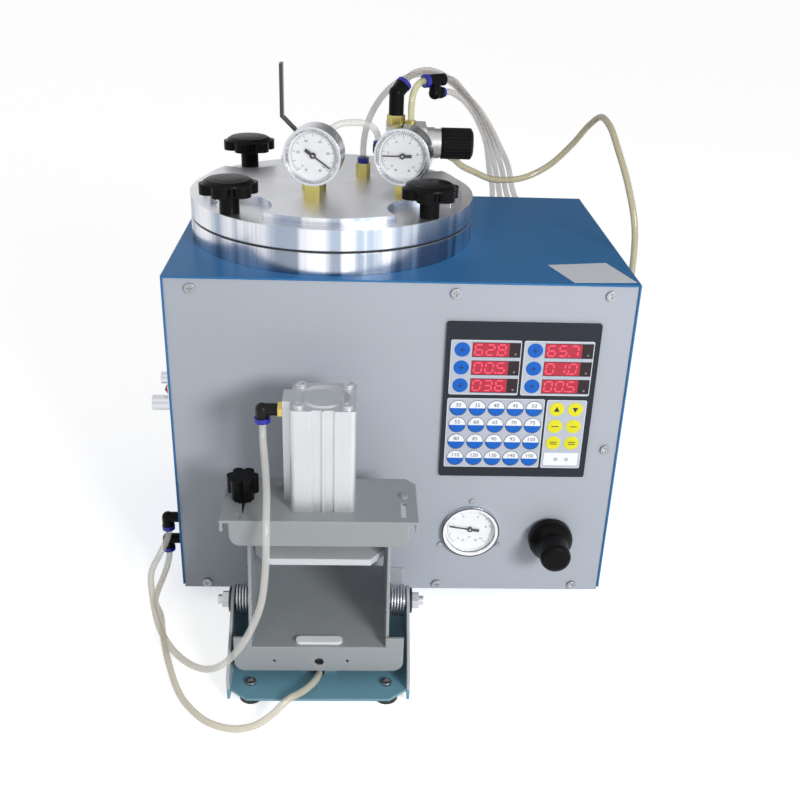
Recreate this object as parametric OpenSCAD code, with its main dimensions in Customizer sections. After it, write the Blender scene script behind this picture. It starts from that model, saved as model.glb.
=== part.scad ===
// Bench wax injector with a hinged pneumatic mould clamp, in millimetres.
// Origin on the ground under the cabinet's centre, X right, Y back, Z up.

/* [Cabinet] */
// Cabinet width
cab_w = 400; // [390:1:430]
// Cabinet depth
cab_d = 275; // [270:1:300]
// Cabinet height above its feet
cab_h = 313; // [305:1:340]
// Height of the rubber feet
foot_h = 14; // [14:1:20]
// Diameter of the rubber feet
foot_d = 24; // [16:1:30]
// Feet centre in from the cabinet sides
foot_in = 25; // [18:1:40]
// Cabinet feet in from the front and the back
foot_deep = 45; // [20:1:60]
// Shell, base and back sheet thickness
sheet = 1.5; // [1:0.1:2]
// Front panel thickness
panel_t = 2; // [1.5:0.1:3]
// How far the shell stands proud of the front panel
lip = 1.5; // [0.5:0.1:3]
// Height of the shell's lower edge above the cabinet bottom
skirt_up = 4; // [2:0.5:6]
// Width of the inner mounting flanges
flange_w = 18; // [16:1:24]
// Case screw head diameter
screw_head = 8.5; // [7:0.1:10]
// Case screw shank diameter
screw_d = 4; // [3:0.1:5]
// Case screws in from the top and sides
screw_in = 10; // [8:0.5:14]
// Lower case screws up from the bottom edge
screw_low = 6; // [5:0.5:9]

/* [Controller] */
// Controller centre, right of the middle
ctl_x = 104.7; // [95:0.1:115]
// Controller centre above the cabinet bottom
ctl_z = 203; // [195:1:215]
// Controller bezel width
ctl_w = 132.4; // [128:0.1:140]
// Controller bezel height
ctl_h = 150; // [148:1:156]
// Controller bezel thickness
ctl_t = 3; // [2:0.1:5]
// Depth of the controller box behind the panel
ctl_deep = 38; // [25:1:50]
// Width of the bezel's border round the keypad
ctl_rim = 2; // [1:0.1:3]
// Keypad sheet thickness
key_t = 1.2; // [0.6:0.1:1.8]
// Display window width
win_w = 41.4; // [36:0.1:44]
// Display window height
win_h = 13.5; // [10:0.1:15]
// Vertical pitch of the display windows
win_pitch = 16.9; // [15:0.1:18]
// Right display column in from the bezel edge
win_edge = 5.9; // [4:0.1:8]
// Display columns closer together than half the bezel
win_step = 3.5; // [2:0.1:6]

/* [Panel instruments] */
// Panel gauge centre, right of the middle
gauge_x = 71; // [65:1:78]
// Panel gauge centre above the cabinet bottom
gauge_z = 67.3; // [60:0.1:75]
// Panel gauge bezel diameter
gauge_d = 54; // [50:1:58]
// Panel gauge bezel depth in front of the panel
gauge_t = 4.5; // [4:0.5:12]
// Panel gauge body behind the panel
gauge_back = 24; // [15:1:30]
// Panel regulator centre, right of the middle
reg_x = 146; // [140:1:152]
// Panel regulator centre above the cabinet bottom
reg_z = 63; // [55:1:70]
// Panel regulator knob skirt diameter
reg_knob_d = 41; // [36:1:46]
// Panel regulator knob grip diameter
reg_grip_d = 28; // [24:1:31]
// Panel regulator knob length
reg_knob_l = 38; // [30:1:44]
// Panel regulator neck diameter
reg_neck = 22; // [16:1:28]
// Panel regulator body size behind the panel
reg_body = 40; // [32:1:46]

/* [Pot and lid] */
// Pot centre, left of the middle
pot_x = -62.5; // [-66:0.1:-60]
// Pot inner radius
pot_r = 95; // [90:1:97]
// Pot wall thickness
pot_wall = 3; // [2:0.1:4]
// Pot depth below the cabinet top
pot_deep = 197; // [180:1:205]
// Flange and lid radius
rim_r = 130.5; // [128:0.1:132]
// Flange height
rim_h = 19.2; // [15:0.1:22]
// Gasket thickness
gasket_h = 2; // [1:0.1:3]
// Gasket inner radius
gasket_in = 104; // [98:1:106]
// Lid ring height
ring_h = 18.3; // [14:0.1:22]
// Raised disc radius
disc_r = 119.5; // [117:0.1:122]
// Raised disc height
disc_h = 6.5; // [4:0.1:9]
// Radius of the scallops round the star knobs
scallop_r = 36; // [29:1:38]
// Radius of the star knobs' circle
stud_circle = 120.5; // [112:0.5:121]
// Star knob stud diameter
stud_d = 8; // [6:0.1:10]
// Depth of the studs in the flange
stud_deep = 13; // [8:1:15]
// Star knob hub diameter
hub_d = 17; // [14:0.5:20]
// Star knob hub height
hub_h = 17; // [12:0.5:20]
// Star knob head diameter
star_d = 50; // [40:1:54]
// Star knob head height
star_h = 13.5; // [10:0.5:16]
// Heater band height
band_h = 100; // [60:5:140]
// Heater band thickness
band_t = 4; // [2:0.5:6]
// Heater band above the pot bottom
band_up = 20; // [10:1:40]
// Clearance of turning and sliding fits, on the radius
run_fit = 0.08; // [0.03:0.01:0.1]

/* [Lid equipment] */
// Lid gauge diameter
dial_d = 50; // [46:1:52]
// Lid gauge depth
dial_t = 24; // [20:1:26]
// Vacuum gauge face centre, right of the pot centre
vac_x = -15.9; // [-18:0.1:-14]
// Vacuum gauge face centre, in front of the pot centre
vac_y = 71.5; // [69:0.1:74]
// Vacuum gauge face centre above the disc
vac_z = 39; // [38:0.5:42]
// Vacuum gauge turn to the left in degrees
vac_turn = 8; // [4:0.5:12]
// Pressure gauge face centre, right of the pot centre
prs_x = 61.2; // [60:0.1:63]
// Pressure gauge face centre, in front of the pot centre
prs_y = 47.5; // [46:0.1:48]
// Pressure gauge face centre above the disc
prs_z = 35; // [34:0.5:38]
// Pressure gauge turn to the left in degrees
prs_turn = 12; // [8:0.5:15]
// Width of the square gauge stems
stem_w = 12.5; // [11:0.5:16]
// Ball valve centre, right of the pot centre
valve_x = -16; // [-19:0.5:-15]
// Ball valve centre, in front of the pot centre
valve_y = 28; // [26:0.5:30]
// Ball valve body diameter
valve_d = 20; // [16:0.5:22]
// Ball valve body height
valve_h = 47; // [44:1:50]
// Valve stem height above the disc
lever_z = 37; // [34:1:39]
// Valve stem diameter
lever_pin = 6; // [5:0.1:7]
// Lever length above its stem
lever_l = 72; // [60:1:80]
// Lever width
lever_w = 12; // [9:0.5:14]
// Lever thickness
lever_t = 3; // [2:0.1:4]
// Lever's sideways step
lever_step = 12.5; // [10:0.5:15]
// Lid regulator body centre, right of the pot centre
lreg_x = 70.5; // [69:0.5:72]
// Lid regulator body centre, in front of the pot centre
lreg_y = 0; // [-2:0.5:0]
// Lid regulator body length
lreg_l = 44; // [40:1:46]
// Lid regulator body size across
lreg_w = 34; // [30:1:35]
// Lid regulator axis above the disc
lreg_z = 38.5; // [37:0.5:40]
// Lid regulator neck diameter
lreg_neck = 26; // [22:1:28]
// Lid regulator neck length
lreg_neck_l = 6; // [4:0.5:9]
// Lid regulator knob diameter
lreg_knob_d = 28; // [24:1:30]
// Lid regulator knob length
lreg_knob_l = 29; // [22:1:32]
// Lid push-in fitting, right of the pot centre
plug_x = 28; // [26:0.5:30]
// Lid push-in fitting, behind the pot centre
plug_y = 26; // [24:0.5:28]

/* [Mould clamp] */
// Clamp centre, left of the middle
clamp_x = -65.5; // [-68:0.5:-62]
// Base plate half width
base_hw = 74; // [73:0.5:75]
// Base plate reach in front of the cabinet
base_out = 152; // [148:1:156]
// Base plate reach under the cabinet
base_in = 60; // [40:1:70]
// Base plate thickness
base_t = 2; // [1.5:0.1:3]
// Clamp sheet thickness
ear_t = 2.5; // [2:0.1:3]
// Height of the base's rear wall
rear_h = 24; // [15:1:26]
// Pivot distance in front of the panel
pivot_y = 80; // [78:0.5:82]
// Pivot height above the cabinet bottom
pivot_z = 46.7; // [46:0.1:49]
// Pivot bolt diameter
pivot_d = 8; // [6:0.5:9]
// Radius of the ears round the pivot
ear_r = 13; // [11:0.5:15]
// Pivot bolt reach past the ears
bolt_out = 12.5; // [10:0.5:15]
// Pivot washer diameter
washer_d = 22; // [16:1:26]
// Distance between an ear and its inner side plate
side_gap = 18.5; // [18:0.1:20]
// Table top above the cabinet bottom
table_z = 36; // [35.5:0.1:37]
// Table front edge in front of the panel
table_out = 130; // [127:0.5:132]
// Table back edge in front of the panel
table_back = 14; // [14:0.5:20]
// Height of the front flange
apron_h = 25; // [22:0.5:25]
// Front flange in from the ears
apron_gap = 3.5; // [2:0.5:5]
// Height of the wings above the table
wing_h = 9; // [5:0.5:12]
// Top plate upper face above the cabinet bottom
plate_z = 150; // [146:1:154]
// Top plate reach past the side plates
plate_over = 21.5; // [16:0.5:24]
// Top plate front edge in front of the panel
plate_out = 115; // [114:0.5:117]
// Top plate back edge in front of the panel
plate_back = 47; // [46:0.5:49]
// Height of the top plate's front flange
valance_h = 23.5; // [20:0.5:28]

/* [Clamp drives] */
// Press cylinder width
cyl_w = 52; // [48:0.5:54]
// Press cylinder height
cyl_h = 91; // [88:1:100]
// Press cylinder axis in front of the panel
cyl_y = 75; // [74:0.5:78]
// Press cylinder right of the clamp's middle
cyl_off = 2.5; // [0:0.5:4]
// Press cylinder bore diameter
bore_d = 40; // [34:0.5:42]
// Press rod diameter
rod_d = 16; // [12:0.5:20]
// Press stroke
stroke = 40; // [30:1:42]
// Press plate top above the cabinet bottom
press_z = 112; // [110:1:116]
// Press plate thickness
press_t = 6; // [4:0.5:8]
// Gap between the press plate and the side plates
press_gap = 2; // [1.5:0.5:4]
// Press plate front edge in front of the panel
press_out = 112; // [106:0.5:112]
// Press plate back edge in front of the panel
press_back = 30; // [28:0.5:36]
// Clamp knob past the side plate
cknob_gap = 5.5; // [5:0.1:8]
// Clamp knob in front of the panel
cknob_y = 80.5; // [78:0.5:87]
// Clamp knob diameter
cknob_d = 26; // [22:0.5:28]
// Clamp knob height
cknob_h = 22; // [18:0.5:34]
// Push cylinder width
push_w = 30; // [24:0.5:34]
// Push cylinder height
push_h = 28; // [26:0.5:28]
// Push cylinder front face in front of the panel
push_out = 118; // [116:0.5:119]
// Push cylinder length
push_l = 56; // [45:1:56]
// Push rod axis above the cabinet bottom
push_z = 20.3; // [19:0.1:21]
// Push rod diameter
push_d = 10; // [8:0.5:12]
// Gap between the push rod and the front flange at rest
push_gap = 0.3; // [0.1:0.1:1]
// Torsion spring wire diameter
wire_d = 2; // [1.5:0.1:2]
// Torsion spring mean radius
coil_r = 12.5; // [11.5:0.1:13]
// Torsion spring pitch
coil_pitch = 2.5; // [2.45:0.01:2.6]
// Torsion spring leg length
leg_l = 16; // [12:0.5:18]

/* [Side wall] */
// Power rocker behind the panel
rocker_y = 13; // [12:0.5:16]
// Power rocker above the cabinet bottom
rocker_z = 200; // [192:1:208]
// Air inlet behind the panel
inlet_y = 32.5; // [31:0.5:40]
// Air inlet above the cabinet bottom
inlet_z = 180.5; // [170:0.5:184]
// Air inlet length
inlet_l = 21.5; // [14:0.5:24]
// Vent behind the panel
port_y = 37.5; // [34:0.5:45]
// Vent above the cabinet bottom
vent_z = 203; // [200:0.5:212]
// Vent length
vent_l = 13; // [8:0.5:16]

/* [Hoses] */
// Hose diameter
hose_d = 6; // [4:0.5:6]
// Push-in collar diameter
collar_d = 12; // [9:0.5:12.5]
// Push-in collar length
collar_l = 4; // [3:0.5:6]
// Elbow body diameter
elbow_d = 11; // [9:0.5:11]
// Upper left elbow behind the panel
left_up_y = 19.5; // [16:0.5:24]
// Upper left elbow above the cabinet bottom
left_up_z = 66; // [60:0.5:70]
// Lower left elbow behind the panel
left_low_y = 28.5; // [26:0.5:34]
// Lower left elbow above the cabinet bottom
left_low_z = 36; // [32:0.5:40]
// Elbow reach from the wall
elbow_out = 12; // [10:0.5:15]
// Upper left elbow reach from the wall
up_out = 14; // [12:0.5:16]
// Lower left elbow reach from the wall
low_out = 17; // [15:0.5:19]
// Right elbow behind the panel
right_y = 77.5; // [70:0.5:85]
// Right elbow above the cabinet bottom
right_z = 260; // [250:1:270]
// Back elbows above the cabinet bottom
back_z = 270; // [260:1:280]
// First back elbow, right of the middle
back_x = 106; // [100:1:110]
// Distance between the back elbows
back_pitch = 13.5; // [13:0.5:16]

/* [Hidden] */
$fn = 48;
front = -cab_d / 2;
rear = cab_d / 2;
half = cab_w / 2;
top = foot_h + cab_h;
rim_z = top + rim_h;
lid_z = rim_z + gasket_h;
ring_z = lid_z + ring_h;
disc_z = ring_z + disc_h;
pot_out = pot_r + pot_wall;
pot_low = top - pot_deep;
pan_z = foot_h + sheet;
nozzle_z = foot_h + 71;
side_in = base_hw - side_gap;
side_out = side_in + ear_t;
apron_hw = base_hw - apron_gap;
plate_hw = side_out + plate_over;
press_hw = side_in - press_gap;
cknob_x = side_out + cknob_gap;
bolt_reach = base_hw + ear_t + bolt_out;
win_gap = ctl_w / 2 - win_step;
push_tip = table_out - ear_t - push_gap;
knob_angles = [225, 315, 135, 45];
front_screws = [[-half + 23.5, top - screw_in], [44.5, top - screw_in], [half - 24.5, top - screw_in],
    [half - 12, foot_h + 156], [half - 26.5, foot_h + screw_low], [42, foot_h + screw_low],
    [-half + 23, foot_h + screw_low]];
back_screws = [[-half + 23.5, top - screw_in], [0, top - screw_in], [half - 24.5, top - screw_in],
    [-half + 23, foot_h + screw_low], [0, foot_h + screw_low], [half - 26.5, foot_h + screw_low]];
lid_ports = [[vac_x, -vac_y + 9.5], [prs_x + 1.5, -prs_y + 9.5], [valve_x, -valve_y],
    [lreg_x, -lreg_y], [plug_x, plug_y]];
tee = [30, 20, disc_z + 91];
tee_turn = 36.87;
tee_dir = [0.8, 0.6, 0];

// Small helpers
module ycyl(d, h) { rotate([-90, 0, 0]) cylinder(d = d, h = h); }
module xcyl(d, h) { rotate([0, 90, 0]) cylinder(d = d, h = h); }
module plan(t) { linear_extrude(height = t) children(); }
module facing(t) { rotate([90, 0, 0]) linear_extrude(height = t) children(); }
module sideways(t) { rotate([90, 0, 90]) linear_extrude(height = t) children(); }
module rrect(w, h, r) {
    square([w - 2 * r, h], center = true);
    square([w, h - 2 * r], center = true);
    for (x = [-1, 1], y = [-1, 1]) translate([x * (w / 2 - r), y * (h / 2 - r)]) circle(r);
}
module box(x0, x1, y0, y1, z0, z1) { translate([x0, y0, z0]) cube([x1 - x0, y1 - y0, z1 - z0]); }
module hexbar(af, h) { cylinder(d = af / cos(30), h = h, $fn = 6); }
module at_clamp() { translate([clamp_x, front, foot_h]) children(); }
module at_press() { translate([clamp_x + cyl_off, front, foot_h]) children(); }
module at_pot(z) { translate([pot_x, 0, z]) children(); }
module at_vacuum() {
    translate([pot_x + vac_x, -vac_y, disc_z + vac_z]) rotate([0, 0, -vac_turn]) children();
}
module at_pressure() {
    translate([pot_x + prs_x, -prs_y, disc_z + prs_z]) rotate([0, 0, -prs_turn]) children();
}
module at_knob(i) {
    a = knob_angles[i];
    translate([pot_x + stud_circle * cos(a), stud_circle * sin(a), ring_z]) children();
}

// Swept hoses
function unit(v) = v / norm(v);
function bend(p, i, t, d0, d1) = let (n = len(p) - 1, b = p[i], c = p[i + 1],
    a = i > 0 ? p[i - 1] : b - d0, d = i < n - 1 ? p[i + 2] : c + d1,
    s = norm(c - b), u = norm(b - a), w = norm(d - c),
    m = i > 0 ? s * ((b - a) / u - (c - a) / (u + s)) + c - b : s * d0,
    e = i < n - 1 ? s * ((d - c) / w - (d - b) / (s + w)) + c - b : s * d1)
    (2 * t * t * t - 3 * t * t + 1) * b + (t * t * t - 2 * t * t + t) * m
    + (3 * t * t - 2 * t * t * t) * c + (t * t * t - t * t) * e;
function route(p, k, d0, d1) = concat([for (i = [0 : len(p) - 2]) for (j = [0 : k - 1])
    bend(p, i, j / k, d0, d1)], [p[len(p) - 1]]);
function along(q, i, d0, d1) = i == 0 ? d0 : i == len(q) - 1 ? d1 : unit(q[i + 1] - q[i - 1]);
function normals(t, i, n) = i == len(t) ? [] :
    let (m = unit(n - (n * t[i]) * t[i])) concat([m], normals(t, i + 1, m));
function ring(c, t, n, r, s) = let (b = cross(t, n))
    [for (k = [0 : s - 1]) c + r * (cos(360 * k / s) * n + sin(360 * k / s) * b)];
module tube(q, t, r, s, n0) {
    m = normals(t, 0, n0);
    last = (len(q) - 1) * s;
    pts = [for (i = [0 : len(q) - 1]) each ring(q[i], t[i], m[i], r, s)];
    sides = [for (i = [0 : len(q) - 2]) for (k = [0 : s - 1])
        let (a = i * s + k, b = i * s + (k + 1) % s) each [[a, a + s, b + s], [a, b + s, b]]];
    caps = [for (k = [1 : s - 2]) each [[0, k, k + 1], [last, last + k + 1, last + k]]];
    polyhedron(points = pts, faces = concat(sides, caps));
}
module hose(p, d0, d1, n0) {
    q = route(p, 2, d0, d1);
    tube(q, [for (i = [0 : len(q) - 1]) along(q, i, d0, d1)], hose_d / 2, 10, n0);
}

// Cabinet
module cabinet_shell() color([0.16, 0.36, 0.66]) difference() {
    union() {
        difference() {
            box(-half, half, front - lip, rear, foot_h + skirt_up, top);
            box(-half + sheet, half - sheet, front - lip - 1, rear + 1, foot_h - 1, top - sheet);
        }
        for (y = [front + panel_t, rear - 2 * sheet]) difference() {
            box(-half + sheet / 2, half - sheet / 2, y, y + sheet, foot_h + flange_w + 3, top - sheet / 2);
            box(-half + flange_w, half - flange_w, y - 1, y + sheet + 1, foot_h - 1, top - flange_w);
            box(-half - 1, half + 1, y - 1, y + sheet + 1, foot_h - 1, foot_h + flange_w + 4);
        }
    }
    at_pot(top - sheet - 1) cylinder(r = pot_out + 0.5, h = sheet + 2);
    for (s = front_screws) translate([s[0], front, s[1]]) ycyl(screw_d + 2 * run_fit, 12);
    for (s = back_screws) translate([s[0], rear - 12, s[1]]) ycyl(screw_d + 2 * run_fit, 12);
    translate([-half, front + rocker_y, foot_h + rocker_z]) box(-1, 3, -6.5, 6.5, -8.5, 8.5);
    translate([-half - 1, front + inlet_y, foot_h + inlet_z]) xcyl(9, 4);
    translate([-half - 1, front + port_y, foot_h + vent_z]) xcyl(6, 4);
    translate([-half - 1, front + left_up_y, foot_h + left_up_z]) xcyl(8, 4);
    translate([-half - 1, front + left_low_y, foot_h + left_low_z]) xcyl(8, 4);
    translate([half - 3, front + right_y, foot_h + right_z]) xcyl(8, 4);
}
module front_panel() color([0.72, 0.76, 0.82]) difference() {
    box(-half + sheet, half - sheet, front, front + panel_t, foot_h, top - sheet);
    for (s = front_screws) translate([s[0], front - 1, s[1]]) ycyl(screw_d + 2 * run_fit, 6);
    translate([ctl_x, front + panel_t + 1, foot_h + ctl_z])
        facing(panel_t + 2) rrect(ctl_w - 8, ctl_h - 8, 2);
    translate([gauge_x, front - 1, foot_h + gauge_z]) ycyl(gauge_d - 6, 6);
    translate([reg_x, front - 1, foot_h + reg_z]) ycyl(reg_neck, 6);
    for (a = [90, 210, 330]) translate([gauge_x + 32 * cos(a), front - 1, foot_h + gauge_z + 32 * sin(a)])
        ycyl(2.5 + 2 * run_fit, 6);
    translate([clamp_x, front - 1, nozzle_z]) ycyl(14, 6);
}
module back_panel() color([0.72, 0.76, 0.82]) difference() {
    box(-half + sheet, half - sheet, rear - sheet, rear, foot_h, top - sheet);
    for (s = back_screws) translate([s[0], rear - 5, s[1]]) ycyl(screw_d + 2 * run_fit, 6);
    translate([-100, rear + 1, foot_h + 60]) facing(4) rrect(46, 24, 3);
    for (i = [0 : 3]) translate([back_x + i * back_pitch, rear - 4, foot_h + back_z]) ycyl(8, 6);
    for (i = [0 : 9]) translate([30 + i * 12, rear + 1, foot_h + 60]) facing(4) rrect(5, 50, 2.4);
}
module base_pan() color([0.16, 0.36, 0.66]) difference() {
    union() {
        box(-half + sheet, half - sheet, front + panel_t, rear - sheet, foot_h, pan_z);
        box(-half + sheet, half - sheet, front + panel_t, front + panel_t + sheet, foot_h, foot_h + flange_w);
        box(-half + sheet, half - sheet, rear - 2 * sheet, rear - sheet, foot_h, foot_h + flange_w);
    }
    for (s = front_screws) translate([s[0], front, s[1]]) ycyl(screw_d + 2 * run_fit, 12);
    for (s = back_screws) translate([s[0], rear - 12, s[1]]) ycyl(screw_d + 2 * run_fit, 12);
}
module rubber_feet() color([0.06, 0.06, 0.07]) {
    for (p = [[-1, -1], [1, -1], [-1, 1], [1, 1], [0, 0]])
        translate([p[0] * (half - foot_in), p[1] * (rear - foot_deep), 0])
            cylinder(d1 = foot_d - 4, d2 = foot_d, h = foot_h);
    for (x = [-57, 57]) translate([clamp_x + x, front - base_out + 19, 0]) difference() {
        cylinder(d = 20, h = foot_h - base_t);
        translate([0, 0, foot_h - base_t - 8]) cylinder(d = screw_d + 2 * run_fit, h = 9);
    }
}
module case_screw() {
    translate([0, -2.6, 0]) difference() {
        ycyl(screw_head, 2.6);
        for (a = [0, 90]) translate([0, -0.5, 0]) rotate([0, a, 0]) box(-2.4, 2.4, 0, 1.8, -0.6, 0.6);
    }
    ycyl(screw_d, 8);
}
module case_screws() color([0.75, 0.76, 0.78]) {
    for (s = front_screws) translate([s[0], front, s[1]]) case_screw();
    for (s = back_screws) translate([s[0], rear, s[1]]) rotate([0, 0, 180]) case_screw();
    for (x = [-57, 57])
        translate([clamp_x + x, front - base_out + 19, foot_h]) rotate([-90, 0, 0]) case_screw();
    for (a = [90, 210, 330]) translate([gauge_x + 32 * cos(a), front, foot_h + gauge_z + 32 * sin(a)]) {
        translate([0, -1.6, 0]) ycyl(5, 1.6);
        ycyl(2.5, 6);
    }
}

// Controller
module at_ctl() { translate([ctl_x, front, foot_h + ctl_z]) children(); }
module windows(t) {
    right = ctl_w / 2 - win_edge - win_w / 2;
    for (x = [0, 1], z = [-1, 0, 1])
        translate([right - x * win_gap, 0, 33 + z * win_pitch])
            facing(t) square([win_w, win_h], center = true);
}
module controller_bezel() color([0.10, 0.12, 0.14]) at_ctl() difference() {
    union() {
        facing(ctl_t) rrect(ctl_w, ctl_h, 2);
        translate([0, ctl_deep, 0]) facing(ctl_deep) rrect(ctl_w - 8, ctl_h - 8, 2);
    }
    translate([0, -ctl_t + key_t, 0]) facing(key_t + 1) rrect(ctl_w - 2 * ctl_rim, ctl_h - 2 * ctl_rim, 1);
    translate([0, ctl_deep + 1, 0]) facing(ctl_deep - 1) rrect(ctl_w - 12, ctl_h - 12, 1);
}
module controller_keypad() color([0.55, 0.58, 0.62]) at_ctl() difference() {
    translate([0, -ctl_t + key_t, 0]) facing(key_t) rrect(ctl_w - 2 * ctl_rim, ctl_h - 2 * ctl_rim, 1);
    translate([0, -ctl_t + key_t + 1, 0]) windows(key_t + 2);
}
module display_windows() color([0.45, 0.02, 0.06]) at_ctl() translate([0, -ctl_t + key_t, 0]) windows(key_t);
module control_board() color([0.05, 0.35, 0.16]) at_ctl() {
    translate([0, 14, 0]) facing(1.6) square([ctl_w - 18, ctl_h - 18], center = true);
    for (x = [-1, 1], z = [-1, 1]) translate([x * (ctl_w / 2 - 14), 2, z * (ctl_h / 2 - 14)]) ycyl(6, 10.4);
    for (x = [-40, -10, 20]) box(x, x + 18, 14, 26, -50, -30);
    for (z = [-10, 12, 34]) box(-45, 45, 14, 18, z, z + 14);
}

// Pot
module wax_pot() color([0.78, 0.79, 0.81]) difference() {
    union() {
        at_pot(pot_low) cylinder(r = pot_out, h = pot_deep + 1);
        at_pot(top) cylinder(r = rim_r, h = rim_h);
    }
    at_pot(pot_low + 4) cylinder(r = pot_r, h = pot_deep + rim_h);
    at_pot(pot_low - 1) cylinder(d = 14, h = 6);
    for (i = [0 : 3]) at_knob(i) translate([0, 0, rim_z - stud_deep - 2 - ring_z])
        cylinder(d = stud_d + 2 * run_fit, h = stud_deep + 3);
}
module pot_gasket() color([0.05, 0.05, 0.06]) difference() {
    at_pot(rim_z) cylinder(r = rim_r - 1, h = gasket_h);
    at_pot(rim_z - 1) cylinder(r = gasket_in, h = gasket_h + 2);
    for (i = [0 : 3]) at_knob(i)
        translate([0, 0, rim_z - 1 - ring_z]) cylinder(d = stud_d + 1, h = gasket_h + 2);
}
module heater_band() color([0.62, 0.55, 0.42]) at_pot(pot_low + band_up) {
    difference() {
        union() {
            cylinder(r = pot_out + band_t, h = band_h);
            for (s = [-1, 1]) box(s > 0 ? 4 : -8, s > 0 ? 8 : -4, pot_out + 1, pot_out + 18, 0, band_h);
        }
        translate([0, 0, -1]) cylinder(r = pot_out, h = band_h + 2);
        box(-4, 4, 60, 140, -1, band_h + 1);
        for (z = [15, band_h - 15]) translate([-10, pot_out + 12, z]) xcyl(5.2, 20);
    }
    for (z = [15, band_h - 15]) translate([-12, pot_out + 12, z]) xcyl(5.2, 24);
}
module valve_block() color([0.70, 0.71, 0.73]) difference() {
    union() {
        box(pot_x - 20, pot_x + 20, front + panel_t, 20, nozzle_z - 15, nozzle_z + 15);
        at_pot(nozzle_z + 14) cylinder(d = 34, h = pot_low - nozzle_z - 14);
    }
    at_pot(nozzle_z - 8) cylinder(d = 14, h = 80);
    translate([clamp_x, front - 1, nozzle_z]) ycyl(6, rear - 2);
    translate([clamp_x, front, nozzle_z]) ycyl(14, 12);
}
module injection_nozzle() color([0.80, 0.62, 0.28]) translate([clamp_x, front, nozzle_z]) rotate([90, 0, 0])
    rotate_extrude()
        polygon([[1.5, -12], [7, -12], [7, 0], [12, 0], [12, 5], [8, 7], [8, 11], [3.5, 20], [1.5, 20]]);
module valve_manifold() color([0.30, 0.32, 0.35]) {
    box(60, 160, -70, -20, pan_z, pan_z + 24);
    for (i = [0 : 3]) {
        box(64 + i * 24, 82 + i * 24, -66, -24, pan_z + 24, pan_z + 58);
        translate([73 + i * 24, -72, pan_z + 12]) ycyl(8, 4);
    }
    translate([64, 20, pan_z + 14]) xcyl(22, 80);
    box(70, 80, 9, 31, pan_z, pan_z + 6);
    box(120, 130, 9, 31, pan_z, pan_z + 6);
}
module power_supply() color([0.76, 0.77, 0.78]) {
    box(-180, -90, 55, 115, pan_z, pan_z + 42);
    box(-90, -80, 60, 110, pan_z, pan_z + 18);
}

// Gauges
module gauge_case(d, t, back_d, back_t) difference() {
    union() {
        difference() {
            union() {
                ycyl(d, t);
                ycyl(back_d, t + back_t);
            }
            translate([0, -1, 0]) ycyl(d - 4, 4);
            translate([0, 2, 0]) ycyl(d - 8, 5);
        }
        translate([0, 4.2, 0]) ycyl(1.8, 3);
    }
}
module gauge_lens(d) translate([0, 1.5, 0]) ycyl(d - 4, 1.5);
module needle(l, a) translate([0, 4.5, 0]) rotate([0, a, 0]) difference() {
    union() {
        ycyl(5, 1.8);
        box(0, l, 0.3, 1.3, -0.5, 0.5);
        box(-l * 0.45, 0, 0.3, 1.3, -1.3, 1.3);
    }
    translate([0, -0.5, 0]) ycyl(1.8 + 2 * run_fit, 3);
}
module panel_gauge_case() color([0.78, 0.79, 0.81]) translate([gauge_x, front - gauge_t, foot_h + gauge_z]) {
    gauge_case(gauge_d, gauge_t, gauge_d - 6, gauge_back);
    translate([0, gauge_t + gauge_back, 0]) ycyl(14, 16);
}
module panel_gauge_lens() color([0.85, 0.92, 0.95]) translate([gauge_x, front - gauge_t, foot_h + gauge_z])
    gauge_lens(gauge_d);
module panel_needle() color([0.05, 0.05, 0.06]) translate([gauge_x, front - gauge_t, foot_h + gauge_z])
    needle(gauge_d * 0.36, 189);

// Panel regulator
module panel_regulator() color([0.45, 0.47, 0.50]) translate([reg_x, front, foot_h + reg_z]) {
    ycyl(reg_neck, panel_t);
    translate([0, panel_t + reg_body, 0]) facing(reg_body) rrect(reg_body, reg_body, 4);
    translate([0, -4, 0]) ycyl(32, 4);
    translate([0, -14, 0]) ycyl(14, 10);
    for (x = [-1, 1]) translate([x > 0 ? reg_body / 2 : -reg_body / 2 - 8, panel_t + 20, 0]) xcyl(10, 8);
}
module panel_regulator_knob() color([0.07, 0.07, 0.08]) translate([reg_x, front - 4.3, foot_h + reg_z])
    difference() {
        rotate([90, 0, 0]) rotate_extrude() polygon([[0, 0], [reg_knob_d / 2, 0], [reg_knob_d / 2, 7],
            [reg_knob_d / 2 - 1, 10], [reg_knob_d / 2 - 3, 12.5], [reg_grip_d / 2 + 1, 15],
            [reg_grip_d / 2, 18], [reg_grip_d / 2, reg_knob_l - 4],
            [reg_grip_d / 2 - 1.2, reg_knob_l - 1.2], [reg_grip_d / 2 - 4, reg_knob_l], [0, reg_knob_l]]);
        translate([0, -10, 0]) ycyl(14 + 2 * run_fit, 11);
    }

// Electrics on the outside
module power_inlet() color([0.06, 0.06, 0.07]) translate([-100, rear, foot_h + 60]) difference() {
    union() {
        translate([0, 2.5, 0]) facing(2.5) rrect(58, 30, 4);
        facing(26) rrect(46, 24, 3);
    }
    translate([0, 3, 0]) facing(18) rrect(36, 16, 3);
}
module side_connectors() color([0.78, 0.79, 0.81]) translate([-half, front, foot_h]) {
    translate([-1.5, inlet_y, inlet_z]) xcyl(9, 9.5);
    translate([-inlet_l, inlet_y, inlet_z]) xcyl(14, inlet_l);
    translate([-1, port_y, vent_z]) xcyl(6, 7);
    translate([-vent_l, port_y, vent_z]) xcyl(11, vent_l);
    translate([0, rocker_y, rocker_z]) difference() {
        union() {
            box(-2, 0, -8, 8, -10, 10);
            box(0, 14, -6.5, 6.5, -8.5, 8.5);
        }
        box(-3, 12, -5, 5, -7.5, 7.5);
        translate([4, -8, 0]) ycyl(3 + 2 * run_fit, 16);
    }
}
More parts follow.
